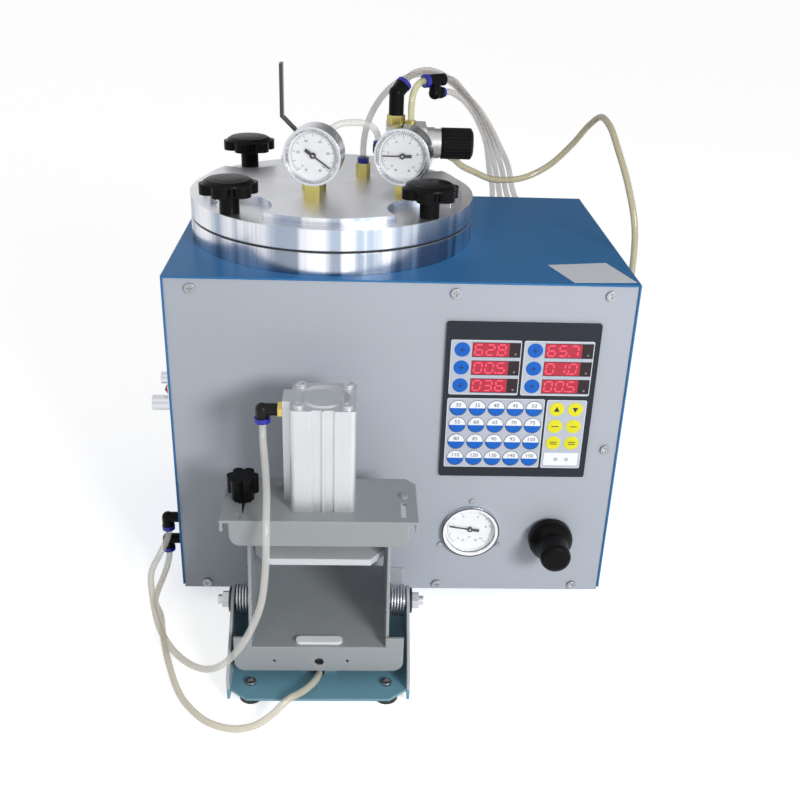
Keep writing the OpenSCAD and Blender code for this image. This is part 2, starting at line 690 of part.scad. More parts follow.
module power_rocker() color([0.75, 0.08, 0.08]) translate([-half, front + rocker_y, foot_h + rocker_z]) {
    translate([0, 4.9, 0]) facing(9.8)
        polygon([[8, -4], [8, 4], [-1, 6], [-5.2, 5.4], [-2.2, 0], [-1, -5.8], [1, -6]]);
    translate([4, -5.9, 0]) ycyl(3, 11.8);
}

// Root fittings
module elbow_out_x(s, up, reach) {
    translate([s < 0 ? -reach : 0, 0, 0]) xcyl(elbow_d - 1, reach);
    translate([s < 0 ? 0 : -3, 0, 0]) xcyl(8, 3);
    translate([s * reach, 0, 0]) {
        sphere(d = elbow_d);
        translate([0, 0, up > 0 ? 0 : -9]) cylinder(d = elbow_d, h = 9);
    }
}
module hose_fittings() color([0.06, 0.06, 0.07]) {
    translate([-half, front + left_up_y, foot_h + left_up_z]) elbow_out_x(-1, -1, up_out);
    translate([-half, front + left_low_y, foot_h + left_low_z]) elbow_out_x(-1, -1, low_out);
    translate([half, front + right_y, foot_h + right_z]) elbow_out_x(1, 1, elbow_out);
    for (i = [0 : 3]) translate([back_x + i * back_pitch, rear, foot_h + back_z]) {
        translate([0, -3, 0]) ycyl(8, 4);
        ycyl(elbow_d - 1, 14);
        translate([0, 14, 0]) sphere(d = elbow_d);
        translate([0, 14, 0]) cylinder(d = elbow_d, h = 9);
    }
    at_clamp() translate([0, -push_out - 5, 6]) ycyl(9, 5);
}
module collar() { cylinder(d = collar_d, h = collar_l); }
module fitting_collars() color([0.10, 0.16, 0.62]) {
    translate([-half - up_out, front + left_up_y, foot_h + left_up_z - 9 - collar_l]) collar();
    translate([-half - low_out, front + left_low_y, foot_h + left_low_z - 9 - collar_l]) collar();
    translate([half + elbow_out, front + right_y, foot_h + right_z + 9]) collar();
    for (i = [0 : 3]) translate([back_x + i * back_pitch, rear + 14, foot_h + back_z + 9]) collar();
    at_clamp() translate([0, -push_out - 5, 6]) rotate([90, 0, 0]) cylinder(d = 9, h = 3);
}

// Clamp base
function touch(p, c, r, s) = let (v = c - p, a = atan2(v[1], v[0]) + s * asin(r / norm(v)))
    c + r * s * [-sin(a), cos(a)];
ear_c = [-pivot_y, pivot_z];
ear_f = [-base_out + 11, 12];
ear_b = [-30, 8];
module ear() difference() {
    union() {
        sideways(ear_t) {
            polygon([[-base_out + 11, -10], ear_f, touch(ear_f, ear_c, ear_r - 0.2, 1), ear_c,
                touch(ear_b, ear_c, ear_r - 0.2, -1), ear_b, [-2, 6], [-2, -10]]);
            translate(ear_c) circle(ear_r);
        }
        translate([-3.5, -pivot_y + coil_r - wire_d / 2 - 2.05, pivot_z - 14]) xcyl(4, 4);
    }
    translate([-1, -pivot_y, pivot_z]) xcyl(pivot_d, ear_t + 2);
}
module clamp_base() color([0.10, 0.42, 0.56]) at_clamp() {
    translate([0, 0, -base_t]) plan(base_t) difference() {
        polygon([[-base_hw - 1, base_in], [-base_hw - 1, -base_out + 13], [-base_hw + 15, -base_out],
            [base_hw - 15, -base_out], [base_hw + 1, -base_out + 13], [base_hw + 1, base_in]]);
        for (x = [-57, 57]) translate([x, -base_out + 19]) circle(d = screw_d + 2 * run_fit);
    }
    box(-base_hw - 1, base_hw + 1, -base_t, 0, -1, rear_h);
    translate([base_hw, 0, 0]) ear();
    mirror([1, 0, 0]) translate([base_hw, 0, 0]) ear();
}
module pivot_bolt() translate([0, -pivot_y, pivot_z]) {
    translate([side_in, 0, 0]) xcyl(pivot_d, base_hw + ear_t + 3 - side_in);
    translate([base_hw + ear_t, 0, 0]) xcyl(washer_d, 2.5);
    translate([base_hw + ear_t + 2.5, 0, 0]) rotate([0, 90, 0]) hexbar(13, 6);
    translate([base_hw + ear_t + 8.5, 0, 0]) xcyl(pivot_d, bolt_reach - base_hw - ear_t - 8.5);
}
module pivot_bolts() color([0.70, 0.71, 0.73]) at_clamp() {
    pivot_bolt();
    mirror([1, 0, 0]) pivot_bolt();
}
coil_x = base_hw - wire_d / 2 - 0.5;
coil_n = 5;
coil_in = coil_x - coil_n * coil_pitch;
coil_pts = concat([[coil_in, coil_r, leg_l], [coil_in, coil_r, leg_l / 2]],
    [for (i = [0 : 8 * coil_n]) [coil_in + i * coil_pitch / 8, coil_r * cos(45 * i), -coil_r * sin(45 * i)]],
    [[coil_x, coil_r, -leg_l / 2], [coil_x, coil_r, -leg_l]]);
coil_dir = [for (i = [0 : len(coil_pts) - 1]) i < 2 || i > len(coil_pts) - 3 ? [0, 0, -1] :
    unit(coil_pts[i + 1] - coil_pts[i - 1])];
coil_gap = min([for (i = [2 : len(coil_pts) - 3]) min([for (j = [i + 5 : i + 11])
    j < len(coil_pts) - 2 ? norm(coil_pts[i] - coil_pts[j]) : 99])]) - wire_d;
echo("least gap between the coils", coil_gap);
module torsion_spring() translate([0, -pivot_y, pivot_z]) tube(coil_pts, coil_dir, wire_d / 2, 6, [1, 0, 0]);
module torsion_springs() color([0.62, 0.63, 0.65]) at_clamp() {
    torsion_spring();
    mirror([1, 0, 0]) torsion_spring();
}
module push_cylinder() color([0.60, 0.62, 0.65]) at_clamp() difference() {
    box(-push_w / 2, push_w / 2, -push_out, -push_out + push_l, 0, push_h);
    translate([0, -push_out - 1, push_z]) ycyl(push_d + 2 * run_fit, push_l - 12);
    translate([0, -push_out - 1, 6]) ycyl(4, 30);
}
module push_rod() color([0.80, 0.81, 0.83]) at_clamp() translate([0, -push_tip, push_z]) ycyl(push_d, 48);

// Swinging frame
module slot2(x, y0, y1, w) {
    translate([x - w / 2, y0]) square([w, y1 - y0]);
    for (y = [y0, y1]) translate([x, y]) circle(d = w);
}
module swing_side() difference() {
    union() {
        translate([side_in, 0, 0]) sideways(ear_t) polygon([[-table_out + 2, table_z - ear_t],
            [-plate_out + ear_t, plate_z - valance_h], [-plate_out + ear_t, plate_z - ear_t],
            [-plate_back - 3, plate_z - ear_t], [-table_back, table_z], [-table_back, table_z - ear_t]]);
        translate([side_out - 1, -pivot_y + coil_r - wire_d / 2 - 2.05, pivot_z + 14]) xcyl(4, 4.5);
    }
    translate([side_in - 1, -pivot_y, pivot_z]) xcyl(12, ear_t + 2);
}
module swing_frame() color([0.55, 0.57, 0.60]) at_clamp() {
    box(-side_out, side_out, -table_out, -table_back, table_z - ear_t, table_z);
    swing_side();
    mirror([1, 0, 0]) swing_side();
    difference() {
        translate([0, -table_out + ear_t, table_z]) facing(ear_t) {
            translate([0, -apron_h / 2]) square([2 * apron_hw - 18, apron_h], center = true);
            translate([0, -apron_h / 2 + 4.5]) square([2 * apron_hw, apron_h - 9], center = true);
            for (x = [-1, 1]) translate([x * (apron_hw - 9), -apron_h + 9]) circle(9);
            for (x = [side_in, -apron_hw]) translate([x, -1]) square([apron_hw - side_in, wing_h + 1]);
        }
        translate([0, -table_out - 1, push_z]) ycyl(8, ear_t + 2);
        for (x = [-37.5, 23.5]) translate([x, -table_out - 1, push_z + 1]) ycyl(3, ear_t + 2);
    }
}
module top_plate() color([0.55, 0.57, 0.60]) at_clamp() {
    translate([0, 0, plate_z - ear_t]) plan(ear_t) difference() {
        polygon([[-plate_hw, -plate_out], [plate_hw, -plate_out], [plate_hw, -plate_back - 9],
            [plate_hw - 8, -plate_back], [-plate_hw + 8, -plate_back], [-plate_hw, -plate_back - 9]]);
        translate([cyl_off, -cyl_y]) circle(d = rod_d + 6);
        slot2(-cknob_x, -plate_out + 6, -cknob_y + 2, 4 + 2 * run_fit);
        slot2(side_out + 10, -plate_out + 9, -87.5, 4);
        translate([side_out + 11, -76.5]) circle(d = 3);
    }
    translate([0, -plate_out + ear_t, plate_z - ear_t]) facing(ear_t) {
        hw = plate_hw - 7.5;
        drop = valance_h - ear_t;
        translate([0, -drop / 2]) square([2 * hw - 18, drop], center = true);
        for (x = [-1, 1]) translate([x * (hw - 9), 9 - drop]) circle(9);
        translate([0, (9 - drop) / 2]) square([2 * hw, drop - 9], center = true);
    }
    for (x = [-1, 1]) box(x > 0 ? plate_hw - ear_t : -plate_hw, x > 0 ? plate_hw : -plate_hw + ear_t,
        -plate_out, -plate_back - 12, plate_z - 10, plate_z - 1);
    translate([cyl_off - cyl_w / 2 - 11, -66, plate_z - 0.5]) hexbar(5, 6);
    translate([side_out + 11, -76.5, plate_z - ear_t]) {
        cylinder(d = 3, h = ear_t);
        translate([0, 0, ear_t - 0.2]) cylinder(d = 6.5, h = 2.2);
    }
}
module mould_stop() color([0.92, 0.92, 0.90]) at_clamp() translate([0, -table_out + 7.5, table_z])
    plan(2.5) rrect(39, 8.5, 4.2);
module press_cylinder() color([0.74, 0.75, 0.77]) at_press() {
    translate([0, -cyl_y, plate_z]) difference() {
        union() {
            plan(cyl_h) rrect(cyl_w, cyl_w, 4);
            box(-cyl_w / 2 - 6.5, -cyl_w / 2 + 1, -9, 13, 0, cyl_h);
        }
        translate([0, 0, 6]) cylinder(d = bore_d, h = cyl_h - 12);
        translate([0, 0, -1]) cylinder(d = rod_d + 2 * run_fit, h = 8);
        translate([0, 0, cyl_h - 2.5]) cylinder(d = 41, h = 3.5);
        for (x = [-4.9, 4.9]) box(x - 4.1, x + 4.1, -cyl_w / 2 - 1, -cyl_w / 2 + 2, -1, cyl_h + 1);
    }
    translate([0, -cyl_y, plate_z + cyl_h - 3]) cylinder(d1 = 36, d2 = 31, h = 2.6);
    corner = cyl_w / 2 - 7;
    for (x = [-corner, corner], y = [-corner, corner]) translate([x, y - cyl_y, plate_z + cyl_h])
        difference() {
            cylinder(d = 9, h = 3);
            translate([0, 0, 1.5]) hexbar(4, 2);
        }
}
port_x = -cyl_w / 2 - 6.5;
port_z = plate_z + cyl_h - 11;
module cylinder_elbow() color([0.06, 0.06, 0.07]) at_press() translate([port_x, -cyl_y - 1, port_z]) {
    translate([-4, 0, 0]) rotate([0, 90, 0]) hexbar(12, 4);
    translate([-16.5, 0, 0]) xcyl(elbow_d - 1, 12.5);
    translate([-16.5, 0, 0]) sphere(d = elbow_d);
    translate([-16.5, 0, -7]) cylinder(d = elbow_d, h = 7);
}
module cylinder_collar() color([0.10, 0.16, 0.62]) at_press()
    translate([port_x - 16.5, -cyl_y - 1, port_z - 7 - collar_l]) cylinder(d = collar_d + 1, h = collar_l);
module pivot_bush() translate([0, -pivot_y, pivot_z]) difference() {
    union() {
        translate([side_in, 0, 0]) xcyl(12, ear_t);
        translate([side_out, 0, 0]) xcyl(16, base_hw - side_out - 0.3);
    }
    translate([side_in - 1, 0, 0]) xcyl(pivot_d + 2 * run_fit, base_hw - side_in + 2);
}
module pivot_bushes() color([0.72, 0.60, 0.36]) at_clamp() {
    pivot_bush();
    mirror([1, 0, 0]) pivot_bush();
}
module press_rod() color([0.80, 0.81, 0.83]) at_press() translate([0, -cyl_y, 0]) {
    translate([0, 0, press_z]) cylinder(d = rod_d, h = plate_z + cyl_h - 20 - press_z);
    translate([0, 0, plate_z + cyl_h - 20]) cylinder(d = bore_d - 2 * run_fit, h = 12);
}
module press_plate() color([0.55, 0.57, 0.60]) at_clamp() translate([0, 0, press_z - press_t]) plan(press_t)
    polygon([[-press_hw, -press_back], [-press_hw, -press_out + 15], [-press_hw + 12, -press_out],
        [press_hw - 12, -press_out], [press_hw, -press_out + 15], [press_hw, -press_back]]);
module clamp_knob() color([0.07, 0.07, 0.08]) at_clamp() translate([-cknob_x, -cknob_y, plate_z]) {
    difference() {
        cylinder(d = 18, h = 7);
        for (i = [0 : 11]) rotate(i * 30) translate([9.4, 0, -1]) cylinder(d = 3, h = 9);
    }
    translate([0, 0, 7]) plan(cknob_h - 7) {
        circle(cknob_d / 2 - 4);
        for (i = [0 : 5]) rotate(i * 60) translate([cknob_d / 2 - 4.5, 0]) circle(4.5);
    }
    translate([0, 0, -14]) cylinder(d = 4, h = 15);
}

// Lid
module lid() color([0.80, 0.81, 0.83]) difference() {
    union() {
        at_pot(lid_z) cylinder(r = rim_r, h = ring_h);
        at_pot(lid_z - 8) cylinder(r = pot_r - 1, h = 9);
        difference() {
            at_pot(ring_z - 0.5) cylinder(r = disc_r, h = disc_h + 0.5);
            for (i = [0 : 3]) at_knob(i) cylinder(r = scallop_r, h = disc_h + 1);
        }
    }
    for (i = [0 : 3]) at_knob(i)
        translate([0, 0, -ring_h - 1]) cylinder(d = stud_d + 2 * run_fit, h = ring_h + 2);
    for (p = lid_ports) translate([pot_x + p[0], p[1], disc_z - 10]) cylinder(d = 8, h = 11);
    for (p = lid_ports) translate([pot_x + p[0], p[1], lid_z - 9]) cylinder(d = 5, h = 30);
}
module spigot(i) translate([pot_x + lid_ports[i][0], lid_ports[i][1], disc_z - 10]) cylinder(d = 8, h = 11);
module on_port(i) { translate([pot_x + lid_ports[i][0], lid_ports[i][1], disc_z]) children(); }
module square_stem(i, h) on_port(i) translate([-stem_w / 2, -stem_w / 2, 0]) cube([stem_w, stem_w, h]);
module lid_brass() color([0.80, 0.62, 0.28]) {
    difference() {
        union() {
            for (i = [0 : 4]) spigot(i);
            square_stem(0, vac_z - dial_d / 2 + 6);
            square_stem(1, prs_z - dial_d / 2 + 6);
        }
        at_vacuum() translate([0, -1, 0]) ycyl(dial_d, dial_t + 2);
        at_pressure() translate([0, -1, 0]) ycyl(dial_d, dial_t + 2);
    }
    on_port(2) {
        hexbar(19, 10);
        cylinder(d = valve_d, h = valve_h - 8);
        translate([0, 0, valve_h - 9]) hexbar(15, 9);
        translate([-valve_d / 2 - 3.3, 0, lever_z]) xcyl(14, 6);
        translate([-valve_d / 2 - 8, 0, lever_z]) xcyl(lever_pin, 8);
        translate([4, 0, valve_h - 4]) rotate([0, 45, 0]) cylinder(d = 7, h = 12.2);
    }
    on_port(3) hexbar(16, lreg_z - lreg_w / 2);
    on_port(4) hexbar(12, 13);
    translate([pot_x + lreg_x - 13.5, -lreg_y - 2, disc_z + lreg_z + lreg_w / 2]) hexbar(14.5, 8);
    translate([pot_x + lreg_x, -lreg_y - 2, disc_z + lreg_z + lreg_w / 2]) cylinder(d = 9, h = 3);
}
module lid_gauge_cases() color([0.78, 0.79, 0.81]) {
    at_vacuum() gauge_case(dial_d, dial_t, 20, 0);
    at_pressure() gauge_case(dial_d, dial_t, 20, 0);
}
module lid_gauge_lenses() color([0.85, 0.92, 0.95]) {
    at_vacuum() gauge_lens(dial_d);
    at_pressure() gauge_lens(dial_d);
}
module vacuum_needle() color([0.05, 0.05, 0.06]) at_vacuum() needle(dial_d * 0.36, 35);
module pressure_needle() color([0.05, 0.05, 0.06]) at_pressure() needle(dial_d * 0.36, 177);
module at_lreg() { translate([pot_x + lreg_x, -lreg_y, disc_z + lreg_z]) children(); }
module lid_regulator() color([0.66, 0.67, 0.68]) at_lreg() {
    translate([-lreg_l / 2, 0, 0]) sideways(lreg_l - 8) rrect(lreg_w, lreg_w, 5);
    translate([lreg_l / 2 - 8, 0, 0]) xcyl(lreg_neck + 2, 8);
    translate([lreg_l / 2, 0, 0]) xcyl(lreg_neck, lreg_neck_l);
    translate([lreg_l / 2 + lreg_neck_l, 0, 0]) xcyl(12, 10);
}
module lid_regulator_knob() color([0.07, 0.07, 0.08])
    at_lreg() translate([lreg_l / 2 + lreg_neck_l + 0.3, 0, 0]) difference() {
        rotate([0, 90, 0]) rotate_extrude() polygon([[0, 0], [lreg_knob_d / 2, 0],
            [lreg_knob_d / 2, lreg_knob_l - 2], [lreg_knob_d / 2 - 3, lreg_knob_l], [0, lreg_knob_l]]);
        translate([-1, 0, 0]) xcyl(12 + 2 * run_fit, 11.5);
        for (i = [0 : 23]) rotate([i * 15, 0, 0])
            translate([3, 0, lreg_knob_d / 2 + 0.5]) xcyl(2, lreg_knob_l - 6);
    }
arch_end = [pot_x + lreg_x - lreg_l / 2 - 7.5, -lreg_y - 10, disc_z + lreg_z + 2.5];
elbow_at = [pot_x + lreg_x - 13.5, -lreg_y - 2, disc_z + lreg_z + lreg_w / 2 + 8];
elbow_h = 19;
tee_drop = 11.5;
tan_off = 12.8;
module lid_fittings() color([0.06, 0.06, 0.07]) {
    translate([arch_end[0], arch_end[1], arch_end[2] - 8.5]) {
        xcyl(8, 7.5);
        sphere(d = 9.4);
        cylinder(d = 9, h = 5.5);
    }
    translate(elbow_at) {
        cylinder(d = 13.5, h = elbow_h);
        translate([0, 0, elbow_h]) sphere(d = 14.1);
        translate([0, 0, elbow_h]) rotate([0, 0, 45]) rotate([0, 52, 0]) cylinder(d = 13.5, h = 9);
    }
    translate(tee) {
        translate([0, 0, -tee_drop]) cylinder(d = 10.5, h = tee_drop);
        translate([0, 0, -tee_drop]) sphere(d = 11.4);
        rotate([0, 0, tee_turn]) translate([0, 0, -tee_drop]) xcyl(10.5, 8);
        rotate([0, 0, tee_turn]) translate([-9, 0, 0]) xcyl(elbow_d, 19);
    }
    at_lreg() translate([lreg_l / 2 - 8, tan_off, -tan_off]) xcyl(7.6, 13.5);
}
module lid_collars() color([0.10, 0.16, 0.62]) {
    translate([arch_end[0], arch_end[1], arch_end[2] - 3]) cylinder(d = 8.5, h = 3);
    translate(elbow_at) translate([0, 0, elbow_h]) rotate([0, 0, 45]) rotate([0, 52, 0])
        translate([0, 0, 9]) cylinder(d = 14.5, h = 3.5);
    translate(tee) rotate([0, 0, tee_turn]) translate([8, 0, -tee_drop]) xcyl(9, 3);
    translate(tee) rotate([0, 0, tee_turn]) translate([-13, 0, 0]) xcyl(collar_d, 4);
    on_port(4) translate([0, 0, 13]) cylinder(d = 11, h = 5);
}
module star_knob() {
    cylinder(d = hub_d, h = hub_h + 1);
    r = star_d / 2;
    translate([0, 0, hub_h]) rotate_extrude() polygon([[0, star_h - 5], [r - 3, star_h - 5],
        [r - 3.5, star_h - 3.5], [r - 7, star_h - 1.4], [r - 13, star_h - 0.4], [r - 19, star_h],
        [0, star_h]]);
    translate([0, 0, hub_h]) plan(star_h - 4.5) {
        circle(star_d / 2 - 6.5);
        for (i = [0 : 5]) rotate(i * 60 + 15) translate([star_d / 2 - 8.5, 0]) circle(8.5);
    }
    translate([0, 0, rim_z - stud_deep - ring_z]) cylinder(d = stud_d, h = ring_z - rim_z + stud_deep + 1);
}
module lid_knob_fl() color([0.07, 0.07, 0.08]) at_knob(0) star_knob();
module lid_knob_fr() color([0.07, 0.07, 0.08]) at_knob(1) star_knob();
module lid_knob_bl() color([0.07, 0.07, 0.08]) at_knob(2) star_knob();
module lid_knob_br() color([0.07, 0.07, 0.08]) at_knob(3) star_knob();
module valve_lever() color([0.75, 0.12, 0.10])
    on_port(2) translate([-valve_d / 2 - 3.5, 0, lever_z]) difference() {
        out = lever_step + lever_t;
        translate([0, lever_w / 2, 0]) facing(lever_w) polygon([[0, -7], [0, 15],
            [-lever_step, 15 + lever_step], [-lever_step, lever_l], [-out, lever_l],
            [-out, 16 + lever_step - lever_t / 4], [-lever_t, 16 - lever_t / 4], [-lever_t, -7]]);
        translate([-lever_t - 1, 0, 0]) xcyl(lever_pin + 2 * run_fit, lever_t + 2);
    }

// Hoses, each with its points, the ways it leaves and enters its fittings, and a side of its section
up = [0, 0, 1];
down = [0, 0, -1];
up_l = [-half - up_out, front + left_up_y, foot_h + left_up_z - 9 - collar_l];
low_l = [-half - low_out, front + left_low_y, foot_h + left_low_z - 9 - collar_l];
cyl_in = [clamp_x + cyl_off + port_x - 16.5, front - cyl_y - 1, foot_h + port_z - 7 - collar_l];
push_in = [clamp_x, front - push_out - 8, foot_h + 6];
right_in = [half + elbow_out, front + right_y, foot_h + right_z + 9 + collar_l];
plug_in = [pot_x + plug_x, plug_y, disc_z + 18];
yellow_in = [pot_x + lreg_x, -lreg_y - 2, disc_z + lreg_z + lreg_w / 2 + 3];
tan_in = [pot_x + lreg_x + lreg_l / 2 + 5.5, -lreg_y + tan_off, disc_z + lreg_z - tan_off];
arch_in = [pot_x + valve_x + 4 + 12.2 * sin(45), -valve_y, disc_z + valve_h - 4 + 12.2 * cos(45)];
bent = [sin(52) * cos(45), sin(52) * sin(45), cos(52)];
elbow_in = elbow_at + [0, 0, elbow_h] + 12.5 * bent;
drop_in = tee + 11 * tee_dir - [0, 0, tee_drop];
function back_in(i) = [back_x + i * back_pitch, rear + 14, foot_h + back_z + 9 + collar_l];
function near(a, p) = [for (v = p) a + v];
module press_hose() color([0.86, 0.86, 0.80]) hose(concat(
    near(up_l, [[0, 0, 0], [-0.6, -0.6, -6], [-3.4, -3.2, -13.8], [-8.5, -9.9, -23], [-14, -26, -32.5]]),
    [[-224, -164, 22], [-215, -192, 15], [-196, -226, 12], [-170, -258, 20], [-142, -286, 48]],
    [[-122, -293, 80], [-110, -290, 110], [-106, -280, 142]],
    near(cyl_in, [[6, -54, -62], [5, -34, -43.5], [2, -13, -25], [0.4, -4.2, -14.5], [0, -0.6, -6.5]]),
    [cyl_in]), down, up, [1, 0, 0]);
module push_hose() color([0.86, 0.86, 0.80]) hose(concat(
    near(low_l, [[0, 0, 0], [-0.3, -0.8, -6], [-1.6, -4.2, -13.6], [-4.6, -12, -22], [-8, -26, -28.6]]),
    [low_l + [-8.5, -40, -31.5], [-218, -166, 4], [-209, -200, 4], [-197, -238, 4], [-174, -286, 4]],
    [[-150, -308, 4], [-129, -313, 4], [-114, -309, 5], [-101, -302.5, 11]],
    near(push_in, [[-25, -31, -2.5], [-11.5, -21.8, -0.5], [-4, -12.6, 0], [-0.9, -5.5, 0], [0, 0, 0]])),
    down, [0, 1, 0], [1, 0, 0]);
module lid_hoses() color([0.88, 0.88, 0.84]) {
    hose(concat([plug_in, plug_in + [0, 0, 10], [-31, 27, 422], [-23, 30, 439], [-10, 35, 454]],
        [[4, 42, 462], [18, 50, 465], [32, 58, 463.5], [47, 68, 456], [62.5, 82, 443]],
        [[78.5, 100.5, 427], [94, 121, 406.5], [107.5, 139.5, 384]],
        near(back_in(3), [[-25, -1, 61], [-15.5, 0, 29], [-5, 0, 12], [0, 0, 0]])), up, down, [1, 0, 0]);
    hose(concat([elbow_in, elbow_in + 8 * bent, elbow_in + [18, 18, 8.5], [34, 39, 467.5]],
        [[48, 53, 458.5], [61, 68, 445.5], [75.5, 88, 429], [90, 110, 408], [102.5, 129.5, 385]],
        near(back_in(2), [[-19.5, -8, 61], [-10, 0, 29], [-3.5, 0, 12], [0, 0, 0]])),
        bent, down, [0, 1, 0]);
    hose(concat(near(yellow_in, [[0, 0, 0], [0, 0.2, 8], [0.2, 0.8, 16], [1.4, 3, 23], [4.2, 6.6, 28.6]]),
        [yellow_in + [7.6, 10.3, 31.7], tee - 13 * tee_dir]), up, tee_dir, [1, 0, 0]);
    hose(concat([tee + 10 * tee_dir, tee + 15 * tee_dir, [58, 50, 451], [72.5, 74, 432]],
        [[86, 97.5, 410.5], [97.5, 119.5, 386.5]],
        near(back_in(1), [[-13.5, -15, 61], [-4.5, -0.5, 29], [-1.5, 0, 12], [0, 0, 0]])),
        tee_dir, down, up);
    hose(concat([drop_in, drop_in + 5 * tee_dir, [56.5, 42, 445], [69.5, 62, 430.5]],
        [[81.5, 85.5, 411], [92, 110, 387.5]],
        near(back_in(0), [[-7, -22, 61], [1, -1, 29], [0.5, 0, 12], [0, 0, 0]])),
        tee_dir, down, up);
    hose(concat(near(arch_in, [[0, 0, 0], [5, 0.4, 4.2], [11.5, 2.6, 7], [20, 6.5, 7.2]]),
        near(arch_end, [[-13.5, -5.3, 16.5], [-6.5, -2.6, 13.8], [-2.2, -0.9, 9.2], [-0.4, -0.2, 4.5]]),
        [arch_end]),
        [sin(45), 0, cos(45)], down, [0, 1, 0]);
    hose(concat(near(tan_in, [[0, 0, 0], [6, 0.5, -0.9], [14.2, 2.5, -4.4]]),
        [[57, 18, 388], [72, 26, 379.5], [89, 36, 371], [105, 45, 368], [125, 54, 369]],
        [[148, 58, 380], [168, 53, 402], [180, 39, 424], [186, 20, 435], [190, 0, 431]],
        [[195, -22, 414], [203, -44, 386]],
        near(right_in, [[-2, 3, 66], [0, 0, 34], [0, 0, 14], [0, 0, 0]])), [1, 0, 0], down, up);
}

cabinet_shell();
front_panel();
back_panel();
base_pan();
rubber_feet();
case_screws();
controller_bezel();
controller_keypad();
display_windows();
control_board();
wax_pot();
pot_gasket();
heater_band();
valve_block();
injection_nozzle();
valve_manifold();
power_supply();
panel_gauge_case();
panel_gauge_lens();
panel_needle();
panel_regulator();
panel_regulator_knob();
power_inlet();
side_connectors();
power_rocker();
hose_fittings();
fitting_collars();
clamp_base();
pivot_bolts();
torsion_springs();
push_cylinder();
push_rod();
swing_frame();
top_plate();
mould_stop();
press_cylinder();
cylinder_elbow();
cylinder_collar();
pivot_bushes();
press_rod();
press_plate();
clamp_knob();
lid();
lid_brass();
lid_gauge_cases();
lid_gauge_lenses();
vacuum_needle();
pressure_needle();
lid_regulator();
lid_regulator_knob();
lid_fittings();
lid_collars();
lid_knob_fl();
lid_knob_fr();
lid_knob_bl();
lid_knob_br();
valve_lever();
press_hose();
push_hose();
lid_hoses();
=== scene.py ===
"""Wax injector: hoses, springs, dials, key sheet, finishes and studio, built on the CAD frame."""
import math

import bmesh
import bpy
from bpy.props import FloatProperty, FloatVectorProperty, IntProperty, PointerProperty
from mathutils import Matrix, Vector


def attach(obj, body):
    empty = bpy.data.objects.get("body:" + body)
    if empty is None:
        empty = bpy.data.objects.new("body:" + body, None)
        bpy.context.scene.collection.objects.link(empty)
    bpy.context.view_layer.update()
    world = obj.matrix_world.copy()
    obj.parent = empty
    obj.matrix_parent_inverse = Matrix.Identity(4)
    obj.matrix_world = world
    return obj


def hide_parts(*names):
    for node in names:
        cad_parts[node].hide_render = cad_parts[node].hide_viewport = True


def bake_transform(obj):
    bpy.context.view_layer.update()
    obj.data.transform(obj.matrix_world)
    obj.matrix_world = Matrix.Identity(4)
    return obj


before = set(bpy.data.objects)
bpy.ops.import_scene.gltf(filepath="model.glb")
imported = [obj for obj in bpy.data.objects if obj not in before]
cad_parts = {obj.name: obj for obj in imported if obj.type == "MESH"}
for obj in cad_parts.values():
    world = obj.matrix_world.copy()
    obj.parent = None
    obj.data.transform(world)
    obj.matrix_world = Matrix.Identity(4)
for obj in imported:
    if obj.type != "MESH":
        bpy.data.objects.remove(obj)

bl_info = {
    "name": "Wax injector",
    "version": (1, 0, 0),
    "blender": (4, 5, 0),
    "location": "3D View > Sidebar > Wax",
    "description": "Builds the hoses, springs, dials, key sheet and finishes of a bench wax injector",
    "category": "Object",
}

MM = 0.001

# Places in the CAD frame, in millimetres
POT_AXIS = Vector((-62.5, 0.0, 0.0))
PIVOT = Vector((-65.5, -217.5, 60.7))
SPRING_OUT = 72.5
SHEET_FRONT = -140.5
CABINET_TOP = 327.0
TEAL_TOP = 14.2
WASHER_FROM = 76.4
WASHER_TO = 79.1
PUSH_COLLAR_BACK = -240.1
ELBOW_BRASS_FROM = -99.6


def tint(red, green, blue):
    """An 8-bit screen colour as the linear values that a colour socket holds."""
    parts = [v / 255 for v in (red, green, blue)]
    return tuple(v / 12.92 if v <= 0.04045 else ((v + 0.055) / 1.055) ** 2.4 for v in parts)


def colour(name, about, value):
    """A colour property with its name, its description and its default."""
    return FloatVectorProperty(name=name, description=about, default=tint(*value), size=3,
                               subtype="COLOR", min=0, max=1)


def length(name, about, value):
    """A length property in metres, given in millimetres."""
    return FloatProperty(name=name, description=about, default=value * MM, unit="LENGTH",
                         subtype="DISTANCE", min=0, precision=5)


def amount(name, about, value):
    """A plain number property."""
    return FloatProperty(name=name, description=about, default=value, min=0)


# Values

class WaxHoseValues(bpy.types.PropertyGroup):
    """Sizes and colours of the hoses."""
    diameter: length("Hose diameter", "Outside diameter of every hose", 6)
    steps: IntProperty(name="Steps", description="Rings between two points of a route", default=7, min=2)
    sides: IntProperty(name="Sides", description="Points round one ring", default=20, min=8)
    clear: colour("Clear hose", "Tint of the clear hoses", (232, 230, 227))
    aged: colour("Aged hose", "Yellowed tint low down on the clear hoses", (216, 204, 172))
    yellow: colour("Yellow hose", "Tint of the yellowed hose", (214, 212, 158))
    grey: colour("Bundle hose", "Tint of the four hoses that run to the back", (178, 170, 163))
    tan: colour("Tan hose", "Tint of the air inlet hose", (196, 186, 148))
    solid: amount("Opacity", "How opaque one wall of a hose is", 0.42)


class WaxSpringValues(bpy.types.PropertyGroup):
    """Sizes of the torsion springs."""
    wire: length("Wire", "Wire diameter", 2)
    radius: length("Mean radius", "Mean radius of the coil", 12.5)
    pitch: length("Pitch", "Distance between two turns", 2.5)
    turns: IntProperty(name="Turns", description="Turns of the coil", default=5, min=1)
    leg: length("Leg", "Length of each straight leg", 16)


